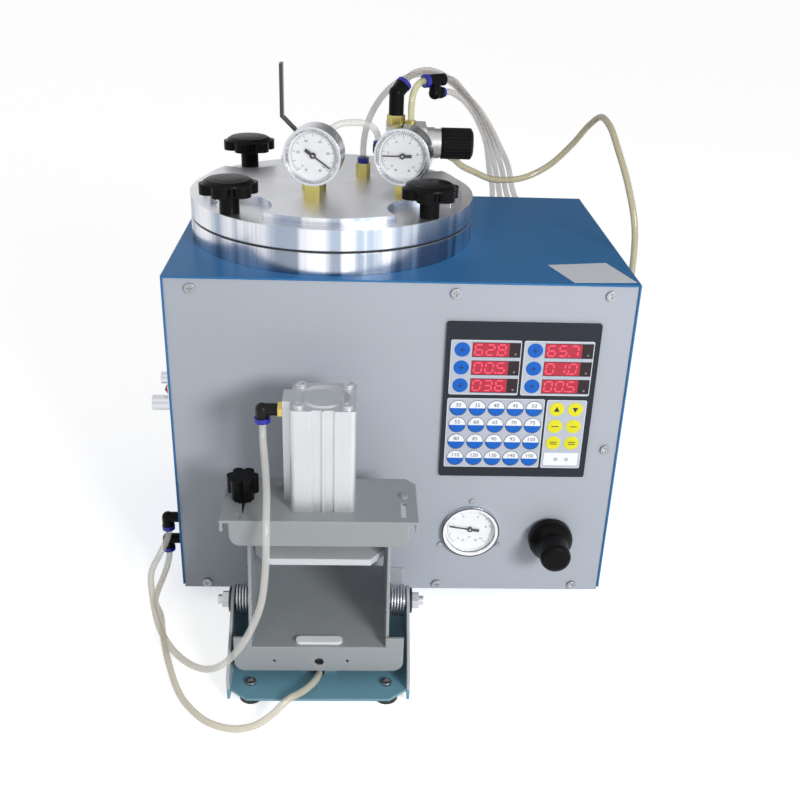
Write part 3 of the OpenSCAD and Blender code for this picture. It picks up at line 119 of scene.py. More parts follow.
class WaxDialValues(bpy.types.PropertyGroup):
    """Colours and line sizes of the three dials."""
    face: colour("Dial face", "White enamel of the dials", (252, 252, 254))
    ink: colour("Dial ink", "Scale marks and numbers", (32, 34, 40))
    rim: colour("Dial rim", "Thin dark ring round the panel gauge", (44, 46, 52))
    major: length("Long mark", "Length of the long scale marks", 3.4)
    minor: length("Short mark", "Length of the short scale marks", 1.9)
    line: length("Line width", "Width of the long scale marks", 0.36)
    text: length("Number size", "Height of the dial numbers", 3.2)


class WaxKeypadValues(bpy.types.PropertyGroup):
    """Colours and sizes of the key sheet."""
    film: colour("Film", "Dark film round the printed fields", (36, 40, 49))
    field: colour("Field", "Grey printed fields", (184, 191, 203))
    line: colour("Outline", "White outline of the fields", (226, 230, 236))
    white: colour("Key white", "Upper half of the number keys", (238, 241, 247))
    blue: colour("Key blue", "Blue of the keys", (20, 98, 194))
    yellow: colour("Key yellow", "Yellow of the function keys", (226, 220, 44))
    ink: colour("Ink", "Printed marks", (40, 44, 54))
    glow: colour("Glow", "Lit part of the displays", (176, 8, 46))
    digit: colour("Digit", "Lit segments", (250, 74, 108))
    dark: colour("Dark glass", "Unlit part of the displays", (46, 36, 41))
    key: length("Number key", "Diameter of the number keys", 14.5)
    rise: length("Key rise", "Height of the domed keys", 0.55)


class WaxPaintValues(bpy.types.PropertyGroup):
    """Colours of the painted sheet metal."""
    blue: colour("Blue enamel", "Cabinet shell and base", (48, 118, 176))
    panel: colour("Panel grey", "Front and back panels", (174, 180, 190))
    teal: colour("Teal enamel", "Bottom plate of the clamp", (106, 154, 173))
    grey: colour("Clamp grey", "Swinging frame and its plates", (152, 157, 160))
    ear: colour("Ear grey", "Ears of the clamp's base", (176, 181, 186))
    press: colour("Press plate", "Plate that presses the mould", (206, 209, 213))
    label: colour("Blank plate", "Blank label on the cabinet's top", (226, 230, 236))


class WaxMetalValues(bpy.types.PropertyGroup):
    """Colours of the bare metals."""
    turned: colour("Turned aluminium", "Pot flange and lid", (232, 233, 238))
    extruded: colour("Anodised aluminium", "Cylinders", (203, 205, 208))
    steel: colour("Zinc steel", "Bolts and springs", (196, 199, 204))
    screw: colour("Screw steel", "Case screws", (158, 160, 164))
    chrome: colour("Rod steel", "Piston rods", (214, 217, 221))
    bright: colour("Bright steel", "Gauge cases and connectors", (208, 211, 216))
    brass: colour("Brass", "Fittings on the lid", (200, 187, 112))
    cast: colour("Cast alloy", "Body of the regulator", (190, 190, 190))


class WaxPlasticValues(bpy.types.PropertyGroup):
    """Colours of the mouldings."""
    black: colour("Black plastic", "Knobs and fittings", (12, 12, 13))
    rubber: colour("Rubber", "Feet and gasket", (22, 22, 23))
    blue: colour("Collar blue", "Collars of the push-in fittings", (30, 36, 158))
    white: colour("White plastic", "Mould stop", (238, 239, 238))
    red: colour("Red plastic", "Power rocker", (186, 26, 36))
    vinyl: colour("Lever sleeve", "Dark sleeve of the valve lever", (58, 57, 56))


class WaxStageValues(bpy.types.PropertyGroup):
    """Camera, lights and floor."""
    eye: FloatVectorProperty(name="Camera", description="Camera position", size=3, unit="LENGTH",
                             default=(-0.0365, -0.9285, 0.6064), subtype="TRANSLATION")
    yaw: FloatProperty(name="Yaw", description="Turn of the camera to the left", default=-0.0471,
                       unit="ROTATION")
    pitch: FloatProperty(name="Pitch", description="Tilt of the camera down", default=0.4576,
                         unit="ROTATION")
    roll: FloatProperty(name="Roll", description="Roll of the camera", default=0.0358, unit="ROTATION")
    lens: amount("Focal length", "Focal length in millimetres on a 36 mm sensor", 45.26)
    sky: amount("Sky", "Strength of the surrounding light", 0.44)
    dim: amount("Dim side", "How much weaker reflections of the back right are", 0.75)
    key: amount("Key light", "Watts of the large low light in front at the right", 21.0)
    fill: amount("Fill light", "Watts of the light at the left", 0.8)
    strip: amount("Strip light", "Watts of the narrow light that draws the highlights", 0.8)
    floor: colour("Floor", "Colour of the floor", (250, 250, 250))
    reach: length("Floor radius", "Radius of the floor", 30000)
    lift: amount("Floor lift", "Part of white that the floor shows of itself", 0.62)


# Shader nodes

class Sock:
    """One socket of a node tree. Arithmetic on it adds the matching nodes."""

    def __init__(self, tree, socket=None):
        self.tree = tree
        self.socket = socket

    def node(self, kind, inputs=None, out=0, **settings):
        """Any node, with its settings and its inputs by name or number."""
        made = self.tree.nodes.new(kind)
        for key, value in settings.items():
            setattr(made, key, value)
        for key, value in (inputs or {}).items():
            self.feed(made.inputs[key], value)
        return Sock(self.tree, made.outputs[out])

    def feed(self, target, value):
        """Links a socket to an input, or sets the input's constant."""
        if isinstance(value, Sock):
            self.tree.links.new(value.socket, target)
            return
        size = {"VECTOR": 3, "RGBA": 4}.get(target.type, 1)
        if size > 1:
            parts = list(value) if hasattr(value, "__len__") else [value] * 3
            target.default_value = (parts + [1.0])[:size]
        else:
            target.default_value = value

    def pair(self, name, first, second):
        """A maths node on two values, on vectors where either is one."""
        both = (first, second)
        wide = any(v.socket.type in {"VECTOR", "RGBA"} for v in both if isinstance(v, Sock))
        wide = wide or any(isinstance(v, tuple) for v in both)
        kind = "ShaderNodeVectorMath" if wide else "ShaderNodeMath"
        return self.node(kind, {0: first, 1: second}, operation=name)

    def __add__(self, other):
        return self.pair("ADD", self, other)

    def __radd__(self, other):
        return self.pair("ADD", other, self)

    def __sub__(self, other):
        return self.pair("SUBTRACT", self, other)

    def __rsub__(self, other):
        return self.pair("SUBTRACT", other, self)

    def __mul__(self, other):
        return self.pair("MULTIPLY", self, other)

    def __rmul__(self, other):
        return self.pair("MULTIPLY", other, self)

    def mix(self, factor, first, second):
        """Colour first where factor is 0, second where it is 1."""
        return self.node("ShaderNodeMix", {0: factor, 6: first, 7: second}, out=2, data_type="RGBA")

    def ramp(self, low, high):
        """0 below low, 1 above high, smooth between them."""
        return self.node("ShaderNodeMapRange", {0: self, 1: low, 2: high, 3: 0.0, 4: 1.0},
                         interpolation_type="SMOOTHSTEP")

    def above(self, level):
        """1 above a level in millimetres, 0 below it, with a hard edge."""
        return self.ramp((level - 0.1) * MM, (level + 0.1) * MM)

    def noise(self, at, scale, detail=2.0, rough=0.5):
        """Noise from 0 to 1 at a place, with scale in patches a metre."""
        return self.node("ShaderNodeTexNoise", {"Vector": at, "Scale": scale, "Detail": detail,
                                                "Roughness": rough})

    def place(self):
        """The object's own coordinates in metres, which stay with it as it moves."""
        return self.node("ShaderNodeTexCoord", out="Object")

    def part(self, vector, axis):
        """One coordinate of a vector."""
        return self.node("ShaderNodeSeparateXYZ", {0: vector}, out=axis)

    def round_edges(self, radius):
        """Normals that roll over the edges of a piece."""
        return self.node("ShaderNodeBevel", {"Radius": radius}, samples=4)

    def edges(self, rolled):
        """1 on the edges, where the rolled normals leave the true ones."""
        true = self.node("ShaderNodeNewGeometry", out="Normal")
        same = self.node("ShaderNodeVectorMath", {0: rolled, 1: true}, out="Value", operation="DOT_PRODUCT")
        return (1.0 - same).ramp(0.004, 0.12)

    def bump(self, height, strength, distance, normal):
        """A bump map on top of other normals."""
        return self.node("ShaderNodeBump", {"Strength": strength, "Distance": distance, "Height": height,
                                            "Normal": normal})


def material(name, recipe, *values, **constants):
    """A material whose recipe gives the varying inputs of its surface."""
    made = bpy.data.materials.new(name)
    made.use_nodes = True
    surface = made.node_tree.nodes["Principled BSDF"]
    s = Sock(made.node_tree)
    for key, value in constants.items():
        s.feed(surface.inputs[key.replace("_", " ")], value)
    for key, value in recipe(s, *values).items():
        s.feed(surface.inputs[key], value)
    return made


def hue(value):
    """A colour as a node's socket, or as plain numbers."""
    return value if isinstance(value, Sock) else tuple(value)


def paint(s, base, rough, grain, wear_and_highlight, rub_and_highlight):
    """Sprayed enamel: orange peel, faint cloudiness, dust specks, and edges lightened partly by rubbing and
    partly as a painted highlight.
    """
    at = s.place()
    cloud = s.noise(at, 7.0, 5.0, 0.6)
    peel = s.noise(at, grain, 2.0)
    specks = s.noise(at, grain * 2.5, 1.0).ramp(0.66, 0.74)
    rolled = s.round_edges(0.0013)
    # Edges lighten towards a paler colour: partly rubbed paint, partly a painted highlight.
    edge = s.edges(rolled) * (s.noise(at, 90.0, 3.0) * 0.8 + 0.4)
    shade = (cloud * 0.12 + 0.94) * hue(base)
    shade = s.mix(specks * 0.10, shade, (0.9, 0.92, 0.95))
    return {
        "Base Color": s.mix(edge * rub_and_highlight, shade, tuple(wear_and_highlight)),
        "Roughness": peel * 0.10 + cloud * 0.10 + (rough - 0.10),
        "Normal": s.bump(peel, 0.10, 0.0003, rolled),
    }


def clamp_paint(s, low, high, level, *rest):
    """Two enamels on one piece: the lower one up to a level, the other above it."""
    share = s.part(s.place(), 2).above(level)
    return paint(s, s.mix(share, tuple(low), tuple(high)), *rest)


def turned(s, base, rough, rim):
    """Lathe-turned metal: rings round the pot's axis, fine grooves, and on the polished side painted
    reflections: dark bands round the axis down to the rim value, tinted with the shell's blue where dark.
    """
    at = s.place()
    flat = (at - tuple(POT_AXIS * MM)) * (1.0, 1.0, 0.0)
    radius = s.node("ShaderNodeVectorMath", {0: flat}, out="Value", operation="LENGTH")
    facing = s.part(s.node("ShaderNodeNewGeometry", out="Normal"), 2)
    level = s.node("ShaderNodeMath", {0: facing}, operation="ABSOLUTE").ramp(0.5, 0.8)
    run = level * radius + (1.0 - level) * s.part(at, 2)
    lane = s.node("ShaderNodeCombineXYZ", {0: run})
    grooves = s.noise(lane, 2600.0, 2.0, 0.6)
    passes = s.noise(lane, 160.0, 2.0, 0.5)
    smear = s.noise(at, 14.0, 4.0, 0.6)
    round_way = s.node("ShaderNodeVectorMath", {0: flat}, operation="NORMALIZE")
    sectors = s.noise(round_way, 2.4, 2.0, 0.5)
    # Painted reflections on the side: dark bands round the axis, and below, a blue painted reflection of
    # the shell where the bands are dark.
    reflection_bands = s.noise(round_way, 6.0, 3.0, 0.62).ramp(0.38, 0.62)
    rolled = s.round_edges(0.0012)
    top = grooves * 0.10 + passes * 0.10 + smear * 0.08 + sectors * 0.30 + 0.64
    side = reflection_bands * (0.92 - rim) + grooves * 0.08 + rim
    tone = level * top + (1.0 - level) * side
    blue_reflection = tuple(v * w for v, w in zip(base, (0.78, 0.90, 1.06)))
    reflection_tint = s.mix((1.0 - level) * (1.0 - reflection_bands), tuple(base), blue_reflection)
    return {
        "Base Color": tone * reflection_tint,
        "Roughness": grooves * 0.14 + smear * 0.16 + level * 0.12 + (rough - 0.16),
        "Normal": s.bump(grooves, 0.14, 0.0002, rolled),
    }


def drawn(s, base, rough, stretch):
    """Drawn or extruded metal: fine lines along it, tarnish, and a painted highlight that brightens the
    edges.
    """
    at = s.place()
    lines = s.noise(at * tuple(stretch), 1500.0, 2.0, 0.6)
    tarnish = s.noise(at, 60.0, 4.0, 0.6)
    rolled = s.round_edges(0.0007)
    # Painted highlight: edges brightened towards near-white.
    edge = s.edges(rolled)
    tone = (lines * 0.12 + tarnish * 0.16 + 0.84) * tuple(base)
    return {
        "Base Color": s.mix(edge * 0.45, tone, (0.95, 0.95, 0.94)),
        "Roughness": lines * 0.12 + tarnish * 0.18 + (rough - 0.14),
        "Normal": s.bump(lines, 0.10, 0.0002, rolled),
    }


def bolt(s, steel, rough, black):
    """Plated bolts whose washers are black."""
    out = drawn(s, steel, rough, (1.0, 1.0, 1.0))
    side = s.part(s.place(), 0) - PIVOT.x * MM
    reach = s.node("ShaderNodeMath", {0: side}, operation="ABSOLUTE")
    washer = reach.above(WASHER_FROM) * (1.0 - reach.above(WASHER_TO))
    out["Base Color"] = s.mix(washer, out["Base Color"], tuple(black))
    out["Metallic"] = 1.0 - washer
    return out


def tipped(s, steel, rough, stretch, black):
    """A piston rod with a black tip on its front end."""
    out = drawn(s, steel, rough, stretch)
    tip = (s.part(s.node("ShaderNodeNewGeometry", out="Normal"), 1) * -1.0).ramp(0.6, 0.7)
    out["Base Color"] = s.mix(tip, out["Base Color"], tuple(black))
    out["Metallic"] = 1.0 - tip
    return out


def collars(s, blue, black, rough, edge_highlight):
    """Blue collars, except the black one in front under the clamp."""
    share = 1.0 - s.part(s.place(), 1).above(PUSH_COLLAR_BACK)
    return moulded(s, s.mix(share, tuple(blue), tuple(black)), rough, 1300.0, edge_highlight)


def elbow(s, black, brass, rough, edge_highlight):
    """A black elbow whose screwed end is brass."""
    share = s.part(s.place(), 0).above(ELBOW_BRASS_FROM)
    out = moulded(s, s.mix(share, tuple(black), tuple(brass)), rough, 1100.0, edge_highlight)
    out["Metallic"] = share
    return out


def moulded(s, base, rough, grain, edge_highlight):
    """Moulded plastic or rubber: fine grain, handling marks, and a painted highlight that makes the edges
    paler.
    """
    at = s.place()
    pores = s.noise(at, grain, 3.0, 0.6)
    marks = s.noise(at, 45.0, 5.0, 0.65)
    rolled = s.round_edges(0.0011)
    # Painted highlight: edges paler than the rest.
    edge = s.edges(rolled)
    shade = (marks * 0.24 + 0.88) * hue(base)
    return {
        "Base Color": s.mix(edge * 0.14, shade, tuple(edge_highlight)),
        "Roughness": marks * 0.16 + pores * 0.08 + (rough - 0.12),
        "Normal": s.bump(pores, 0.08, 0.0002, rolled),
    }


def printed(s, base, rough):
    """Ink on film: a faint mottle over a fine texture."""
    at = s.place()
    mottle = s.noise(at, 220.0, 3.0)
    cells = s.noise(at, 2400.0, 1.0)
    return {
        "Base Color": (mottle * 0.10 + 0.95) * tuple(base),
        "Roughness": cells * 0.14 + (rough - 0.07),
        "Normal": s.bump(cells, 0.06, 0.0001, s.node("ShaderNodeNewGeometry", out="Normal")),
    }


def seen_rays(s):
    """1 for the rays that show a surface itself: camera, mirror and see-through rays."""
    rays = [s.node("ShaderNodeLightPath", out=name)
            for name in ("Is Camera Ray", "Is Glossy Ray", "Is Transmission Ray")]
    return s.node("ShaderNodeMath", {0: rays[0] + rays[1] + rays[2], 1: 1.0}, operation="MINIMUM")


def pale_floor(s, base, lift):
    """White studio floor: faint cloudiness, with a share of white of its own that lights nothing."""
    at = s.place()
    cloud = s.noise(at, 0.9, 3.0)
    return {
        "Base Color": (cloud * 0.02 + 0.98) * tuple(base),
        "Roughness": s.noise(at, 60.0, 2.0) * 0.1 + 0.65,
        "Emission Color": seen_rays(s) * lift * (1.0, 1.0, 1.0),
    }


def lit(s, base):
    """A lit display: slightly uneven glow."""
    at = s.place()
    glow = (s.noise(at, 260.0, 2.0) * 0.30 + 0.85) * tuple(base)
    return {"Base Color": glow * 0.35, "Emission Color": glow, "Roughness": s.noise(at, 900.0) * 0.1 + 0.2}


def tubing(s, base, aged, solid):
    """Clear polyurethane hose: cloudy wall, yellowed low down, with draw lines."""
    at = s.place()
    cloud = s.noise(at, 55.0, 4.0, 0.6)
    low = 1.0 - s.part(at, 2).ramp(0.004, 0.075)
    fine = s.noise(at, 700.0, 2.0)
    return {
        "Base Color": s.mix(low * 0.75, (cloud * 0.14 + 0.92) * tuple(base), tuple(aged)),
        "Roughness": fine * 0.08 + 0.10,
        "Alpha": cloud * 0.14 + low * 0.12 + (solid - 0.07),
        "Normal": s.bump(fine, 0.05, 0.0002, s.node("ShaderNodeNewGeometry", out="Normal")),
    }


def glass(name):
    """A clear lens: see-through, with a reflection that grows at a slant."""
    made = bpy.data.materials.new(name)
    made.use_nodes = True
    tree = made.node_tree
    s = Sock(tree)
    smear = s.noise(s.place(), 70.0, 4.0)
    gloss = s.node("ShaderNodeBsdfGlossy", {"Color": (1.0, 1.0, 1.0), "Roughness": smear * 0.06 + 0.01})
    clear = s.node("ShaderNodeBsdfTransparent", {"Color": (0.995, 0.998, 1.0)})
    share = s.node("ShaderNodeFresnel", {"IOR": 1.45}) * 0.6
    both = s.node("ShaderNodeMixShader", {0: share, 1: clear, 2: gloss})
    tree.links.new(both.socket, tree.nodes["Material Output"].inputs["Surface"])
    return made


# Mesh building

class Build:
    """Faces of one piece, in millimetres in its own place, each with a material number."""

    def __init__(self, place=None):
        self.mesh = bmesh.new()
        self.place = (place or Matrix.Identity(4)) @ Matrix.Scale(MM, 4)
        self.smooth = False

    def point(self, x, y, z):
        return self.mesh.verts.new(self.place @ Vector((x, y, z)))

    def face(self, points, kind):
        made = self.mesh.faces.new(points)
        made.material_index = kind
        made.smooth = self.smooth
        return made

    def join(self, first, second, kind):
        """Walls between two rings of points."""
        count = len(first)
        for i in range(count):
            j = (i + 1) % count
            self.face((first[i], first[j], second[j], second[i]), kind)

    def raised(self, outline, levels, kind, centre=None):
        """A raised form on a front face: the outline (x, z) shrinks about its centre towards the front."""
        mid = centre or [sum(p[k] for p in outline) / len(outline) for k in (0, 1)]
        rings = []
        for depth, share in levels:
            shrunk = [[mid[k] + (p[k] - mid[k]) * share for k in (0, 1)] for p in outline]
            rings.append([self.point(x, depth, z) for x, z in shrunk])
        for low, high in zip(rings, rings[1:]):
            self.join(low, high, kind)
        self.face(rings[0][::-1], kind)
        self.face(rings[-1], kind)

    def border(self, outer, inner, back, front, kind):
        """A raised border between two outlines with as many points."""
        rings = [[self.point(x, depth, z) for x, z in outline]
                 for outline, depth in ((outer, back), (outer, front), (inner, front), (inner, back))]
        for i in range(4):
            self.join(rings[i], rings[(i + 1) % 4], kind)

    def flat(self, outline, depth, kind):
        """A thin printed shape just in front of a face."""
        self.raised(outline, [(depth + 0.04, 1.0), (depth, 1.0)], kind)

    def bar(self, x0, x1, z0, z1, depth, kind):
        """A thin printed rectangle."""
        self.flat([(x0, z0), (x1, z0), (x1, z1), (x0, z1)], depth, kind)

    def lathe(self, profile, sides, kind):
        """A closed ring turned about the piece's Y axis from (radius, depth) pairs."""
        rings = []
        for i in range(sides):
            a = math.tau * i / sides
            rings.append([self.point(r * math.cos(a), y, r * math.sin(a)) for r, y in profile])
        for i in range(sides):
            self.join(rings[i], rings[(i + 1) % sides], kind)

    def letters(self, words, size, x, z, depth, kind):
        """Printed characters, flat on a front face."""
        curve = bpy.data.curves.new("letters", "FONT")
        curve.body = words
        curve.size = size
        curve.align_x = "CENTER"
        curve.align_y = "CENTER"
        curve.resolution_u = 3
        holder = bpy.data.objects.new("letters", curve)
        bpy.context.scene.collection.objects.link(holder)
        ready = holder.evaluated_get(bpy.context.evaluated_depsgraph_get())
        flat = ready.to_mesh()
        points = [self.point(x + v.co.x, depth, z + v.co.y) for v in flat.vertices]
        for polygon in flat.polygons:
            self.face([points[i] for i in polygon.vertices], kind)
        ready.to_mesh_clear()
        bpy.data.objects.remove(holder)
        bpy.data.curves.remove(curve)

    def tube(self, path, radius, sides, kind, start):
        """A round tube along a path, closed at both ends, without twist."""
        last = len(path) - 1
        angles = [math.tau * k / sides for k in range(sides)]
        normal = Vector(start)
        rings = []
        for i, p in enumerate(path):
            ahead = (path[min(i + 1, last)] - path[max(i - 1, 0)]).normalized()
            normal = (normal - ahead * normal.dot(ahead)).normalized()
            across = ahead.cross(normal)
            rings.append([self.point(*(p + radius * (math.cos(a) * normal + math.sin(a) * across)))
                          for a in angles])
        for low, high in zip(rings, rings[1:]):
            self.join(low, high, kind)
        self.face(rings[0][::-1], kind)
        self.face(rings[-1], kind)

    def piece(self, name, materials):
        """The finished object, with its normals outward."""
        bmesh.ops.recalc_face_normals(self.mesh, faces=self.mesh.faces[:])
        data = bpy.data.meshes.new(name)
        self.mesh.to_mesh(data)
        self.mesh.free()
        for m in materials:
            data.materials.append(m)
        made = bpy.data.objects.new(name, data)
        bpy.context.scene.collection.objects.link(made)
        return made


def circle(x, z, radius, sides=28, first=0.0, last=360.0):
    """Points of a circle, or of a part of one, anticlockwise from the right."""
    whole = abs(last - first) >= 360.0
    count = sides if whole else sides + 1
    step = (last - first) / sides
    angles = [math.radians(first + step * i) for i in range(count)]
    return [(x + radius * math.cos(a), z + radius * math.sin(a)) for a in angles]


def rounded(x0, x1, z0, z1, radius):
    """Points of a rectangle with round corners, anticlockwise."""
    corners = [(x1 - radius, z1 - radius, 0), (x0 + radius, z1 - radius, 90),
               (x0 + radius, z0 + radius, 180), (x1 - radius, z0 + radius, 270)]
    return [p for x, z, a in corners for p in circle(x, z, radius, 5, a, a + 90)]


def route(points, steps, leave, enter):
    """A smooth path through the points of a hose, as in the CAD, with its first and its last direction."""
    p = [Vector(v) for v in points]
    path = []
    last = len(p) - 2
    for i in range(last + 1):
        b = p[i]
        c = p[i + 1]
        a = p[i - 1] if i > 0 else b - leave
        d = p[i + 2] if i < last else c + enter
        s = (c - b).length
        u = (b - a).length
        w = (d - c).length
        m = s * ((b - a) / u - (c - a) / (u + s)) + c - b if i > 0 else s * leave
        e = s * ((d - c) / w - (d - b) / (s + w)) + c - b if i < last else s * enter
        for j in range(steps):
            t = j / steps
            path.append((2 * t ** 3 - 3 * t * t + 1) * b + (t ** 3 - 2 * t * t + t) * m
                        + (3 * t * t - 2 * t ** 3) * c + (t ** 3 - t * t) * e)
    path.append(p[-1])
    return path


def leaning(lean, turn):
    """A direction that leans from straight up, and then turns about the vertical, in degrees."""
    return Matrix.Rotation(math.radians(turn), 3, "Z") @ Matrix.Rotation(math.radians(lean), 3, "Y") @ UP


def near(anchor, *offsets):
    """Points given from an anchor."""
    return [anchor + Vector(o) for o in offsets]


# Hose routes in millimetres, from their first fitting to their last

UP = Vector((0, 0, 1))
DOWN = Vector((0, 0, -1))
UP_L = Vector((-214, -118, 67))
LOW_L = Vector((-217, -109, 37))
CYL_IN = Vector((-112, -213.5, 233))
PUSH_IN = Vector((-65.5, -263.5, 20))
RIGHT_IN = Vector((212, -60, 287))
PLUG_IN = Vector((-34.5, 26, 391))
YELLOW_IN = Vector((8, -2, 431.5))
TAN_IN = Vector((35.5, 12.8, 398.7))
ARCH_DIR = leaning(45, 0)
ARCH_IN = Vector((-74.5, -28, 416)) + 12.2 * ARCH_DIR
ARCH_END = Vector((-21.5, -10, 414))
BENT = leaning(52, 45)
ELBOW_IN = Vector((-5.5, -2, 455.5)) + 12.5 * BENT
TEE = Vector((30, 20, 464))
TEE_DIR = Vector((0.8, 0.6, 0))
DROP_IN = TEE + 11 * TEE_DIR - Vector((0, 0, 11.5))
BACK = [Vector((106 + 13.5 * i, 151.5, 297)) for i in range(4)]
ROUTES = {
    "press_hose": near(UP_L, (0, 0, 0), (-0.6, -0.6, -6), (-3.4, -3.2, -13.8), (-8.5, -9.9, -23),
                       (-14, -26, -32.5)) + [
        (-224, -164, 22), (-215, -192, 15), (-196, -226, 12), (-170, -258, 20), (-142, -286, 48),
        (-122, -293, 80), (-110, -290, 110), (-106, -280, 142)] + near(
        CYL_IN, (6, -54, -62), (5, -34, -43.5), (2, -13, -25), (0.4, -4.2, -14.5), (0, -0.6, -6.5),
        (0, 0, 0)),
    "push_hose": near(LOW_L, (0, 0, 0), (-0.3, -0.8, -6), (-1.6, -4.2, -13.6), (-4.6, -12, -22),
                      (-8, -26, -28.6), (-8.5, -40, -31.5)) + [
        (-218, -166, 4), (-209, -200, 4), (-197, -238, 4), (-174, -286, 4), (-150, -308, 4),
        (-129, -313, 4), (-114, -309, 5), (-101, -302.5, 11)] + near(
        PUSH_IN, (-25, -31, -2.5), (-11.5, -21.8, -0.5), (-4, -12.6, 0), (-0.9, -5.5, 0), (0, 0, 0)),
    "plug_hose": near(PLUG_IN, (0, 0, 0), (0, 0, 10)) + [
        (-31, 27, 422), (-23, 30, 439), (-10, 35, 454), (4, 42, 462), (18, 50, 465), (32, 58, 463.5),
        (47, 68, 456), (62.5, 82, 443), (78.5, 100.5, 427), (94, 121, 406.5), (107.5, 139.5, 384)] + near(
        BACK[3], (-25, -1, 61), (-15.5, 0, 29), (-5, 0, 12), (0, 0, 0)),
    "elbow_hose": [ELBOW_IN, ELBOW_IN + 8 * BENT, ELBOW_IN + Vector((18, 18, 8.5)), (34, 39, 467.5),
                   (48, 53, 458.5), (61, 68, 445.5), (75.5, 88, 429), (90, 110, 408),
                   (102.5, 129.5, 385)] + near(
        BACK[2], (-19.5, -8, 61), (-10, 0, 29), (-3.5, 0, 12), (0, 0, 0)),
    "yellow_hose": near(YELLOW_IN, (0, 0, 0), (0, 0.2, 8), (0.2, 0.8, 16), (1.4, 3, 23), (4.2, 6.6, 28.6),
                        (7.6, 10.3, 31.7)) + [TEE - 13 * TEE_DIR],
    "tee_hose": [TEE + 10 * TEE_DIR, TEE + 15 * TEE_DIR, (58, 50, 451), (72.5, 74, 432), (86, 97.5, 410.5),
                 (97.5, 119.5, 386.5)] + near(
        BACK[1], (-13.5, -15, 61), (-4.5, -0.5, 29), (-1.5, 0, 12), (0, 0, 0)),
    "drop_hose": [DROP_IN, DROP_IN + 5 * TEE_DIR, (56.5, 42, 445), (69.5, 62, 430.5), (81.5, 85.5, 411),
                  (92, 110, 387.5)] + near(
        BACK[0], (-7, -22, 61), (1, -1, 29), (0.5, 0, 12), (0, 0, 0)),
    "arch_hose": near(ARCH_IN, (0, 0, 0), (5, 0.4, 4.2), (11.5, 2.6, 7), (20, 6.5, 7.2)) + near(
        ARCH_END, (-13.5, -5.3, 16.5), (-6.5, -2.6, 13.8), (-2.2, -0.9, 9.2), (-0.4, -0.2, 4.5), (0, 0, 0)),
    "tan_hose": near(TAN_IN, (0, 0, 0), (6, 0.5, -0.9), (14.2, 2.5, -4.4)) + [
        (57, 18, 388), (72, 26, 379.5), (89, 36, 371), (105, 45, 368), (125, 54, 369), (148, 58, 380),
        (168, 53, 402), (180, 39, 424), (186, 20, 435), (190, 0, 431), (195, -22, 414),
        (203, -44, 386)] + near(
        RIGHT_IN, (-2, 3, 66), (0, 0, 34), (0, 0, 14), (0, 0, 0)),
}
ENDS = {
    "press_hose": (DOWN, UP),
    "push_hose": (DOWN, Vector((0, 1, 0))),
    "plug_hose": (UP, DOWN),
    "elbow_hose": (BENT, DOWN),
    "yellow_hose": (UP, TEE_DIR),
    "tee_hose": (TEE_DIR, DOWN),
    "drop_hose": (TEE_DIR, DOWN),
    "arch_hose": (ARCH_DIR, DOWN),
    "tan_hose": (Vector((1, 0, 0)), DOWN),
}
STARTS = {"elbow_hose": (0, 1, 0), "arch_hose": (0, 1, 0), "drop_hose": (0, 0, 1), "tee_hose": (0, 0, 1),
          "tan_hose": (0, 0, 1)}
LID_SPANS = ("plug_hose", "elbow_hose", "tee_hose", "drop_hose", "tan_hose")


class WAX_OT_hoses(bpy.types.Operator):
    """Makes the nine hoses"""
    bl_idname = "wax.hoses"
    bl_label = "Hoses"

    def execute(self, context):
        v = context.scene.wax_hoses
        clear = material("hose_clear", tubing, v.clear, v.aged, v.solid, IOR=1.5)
        yellow = material("hose_yellow", tubing, v.yellow, v.yellow, v.solid + 0.2, IOR=1.5)
        tan = material("hose_tan", tubing, v.tan, v.tan, v.solid + 0.3, IOR=1.5)
        grey = material("hose_grey", tubing, v.grey, v.grey, v.solid, IOR=1.5)
        finish = {"yellow_hose": yellow, "tan_hose": tan, "plug_hose": grey, "elbow_hose": grey,
                  "tee_hose": grey, "drop_hose": grey}
        for name, points in ROUTES.items():
            path = route(points, v.steps, *ENDS[name])
            build = Build()
            build.smooth = True
            build.tube(path, v.diameter / MM / 2, v.sides, 0, STARTS.get(name, (1, 0, 0)))
            made = build.piece(name, [finish.get(name, clear)])
            row = [p * MM for p in path]
            run = sum((b - a).length for a, b in zip(row, row[1:]))
            if name == "press_hose":
                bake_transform(made)
                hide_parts("press_hose")
            elif name == "push_hose":
                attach(made, "cabinet")
                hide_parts("push_hose")
            else:
                if name in LID_SPANS:
                    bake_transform(made)
                else:
                    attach(made, "lid")
                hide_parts("lid_hoses")
        return {"FINISHED"}


class WAX_OT_springs(bpy.types.Operator):
    """Makes the two torsion springs, which twist between the base and the swinging frame"""
    bl_idname = "wax.springs"
    bl_label = "Torsion springs"

    def execute(self, context):
        v = context.scene.wax_springs
        m = context.scene.wax_metals
        wire = material("spring_steel", drawn, m.steel, 0.30, (1.0, 1.0, 1.0), Metallic=1.0)
        radius = v.radius / MM
        pitch = v.pitch / MM
        leg = v.leg / MM
        inner = SPRING_OUT - v.turns * pitch
        points = [(inner, radius, leg - i * leg / 6) for i in range(6)]
        for i in range(36 * v.turns + 1):
            a = math.radians(10 * i)
            points.append((inner + i * pitch / 36, radius * math.cos(a), -radius * math.sin(a)))
        points += [(SPRING_OUT, radius, -i * leg / 6) for i in range(1, 7)]
        for name, side in (("spring_right", 1), ("spring_left", -1)):
            path = [PIVOT + Vector((side * x, y, z)) for x, y, z in points]
            build = Build()
            build.smooth = True
            build.tube(path, v.wire / MM / 2, 12, 0, (1, 0, 0))
            made = build.piece(name, [wire])
            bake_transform(made)
            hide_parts("torsion_springs")
        return {"FINISHED"}


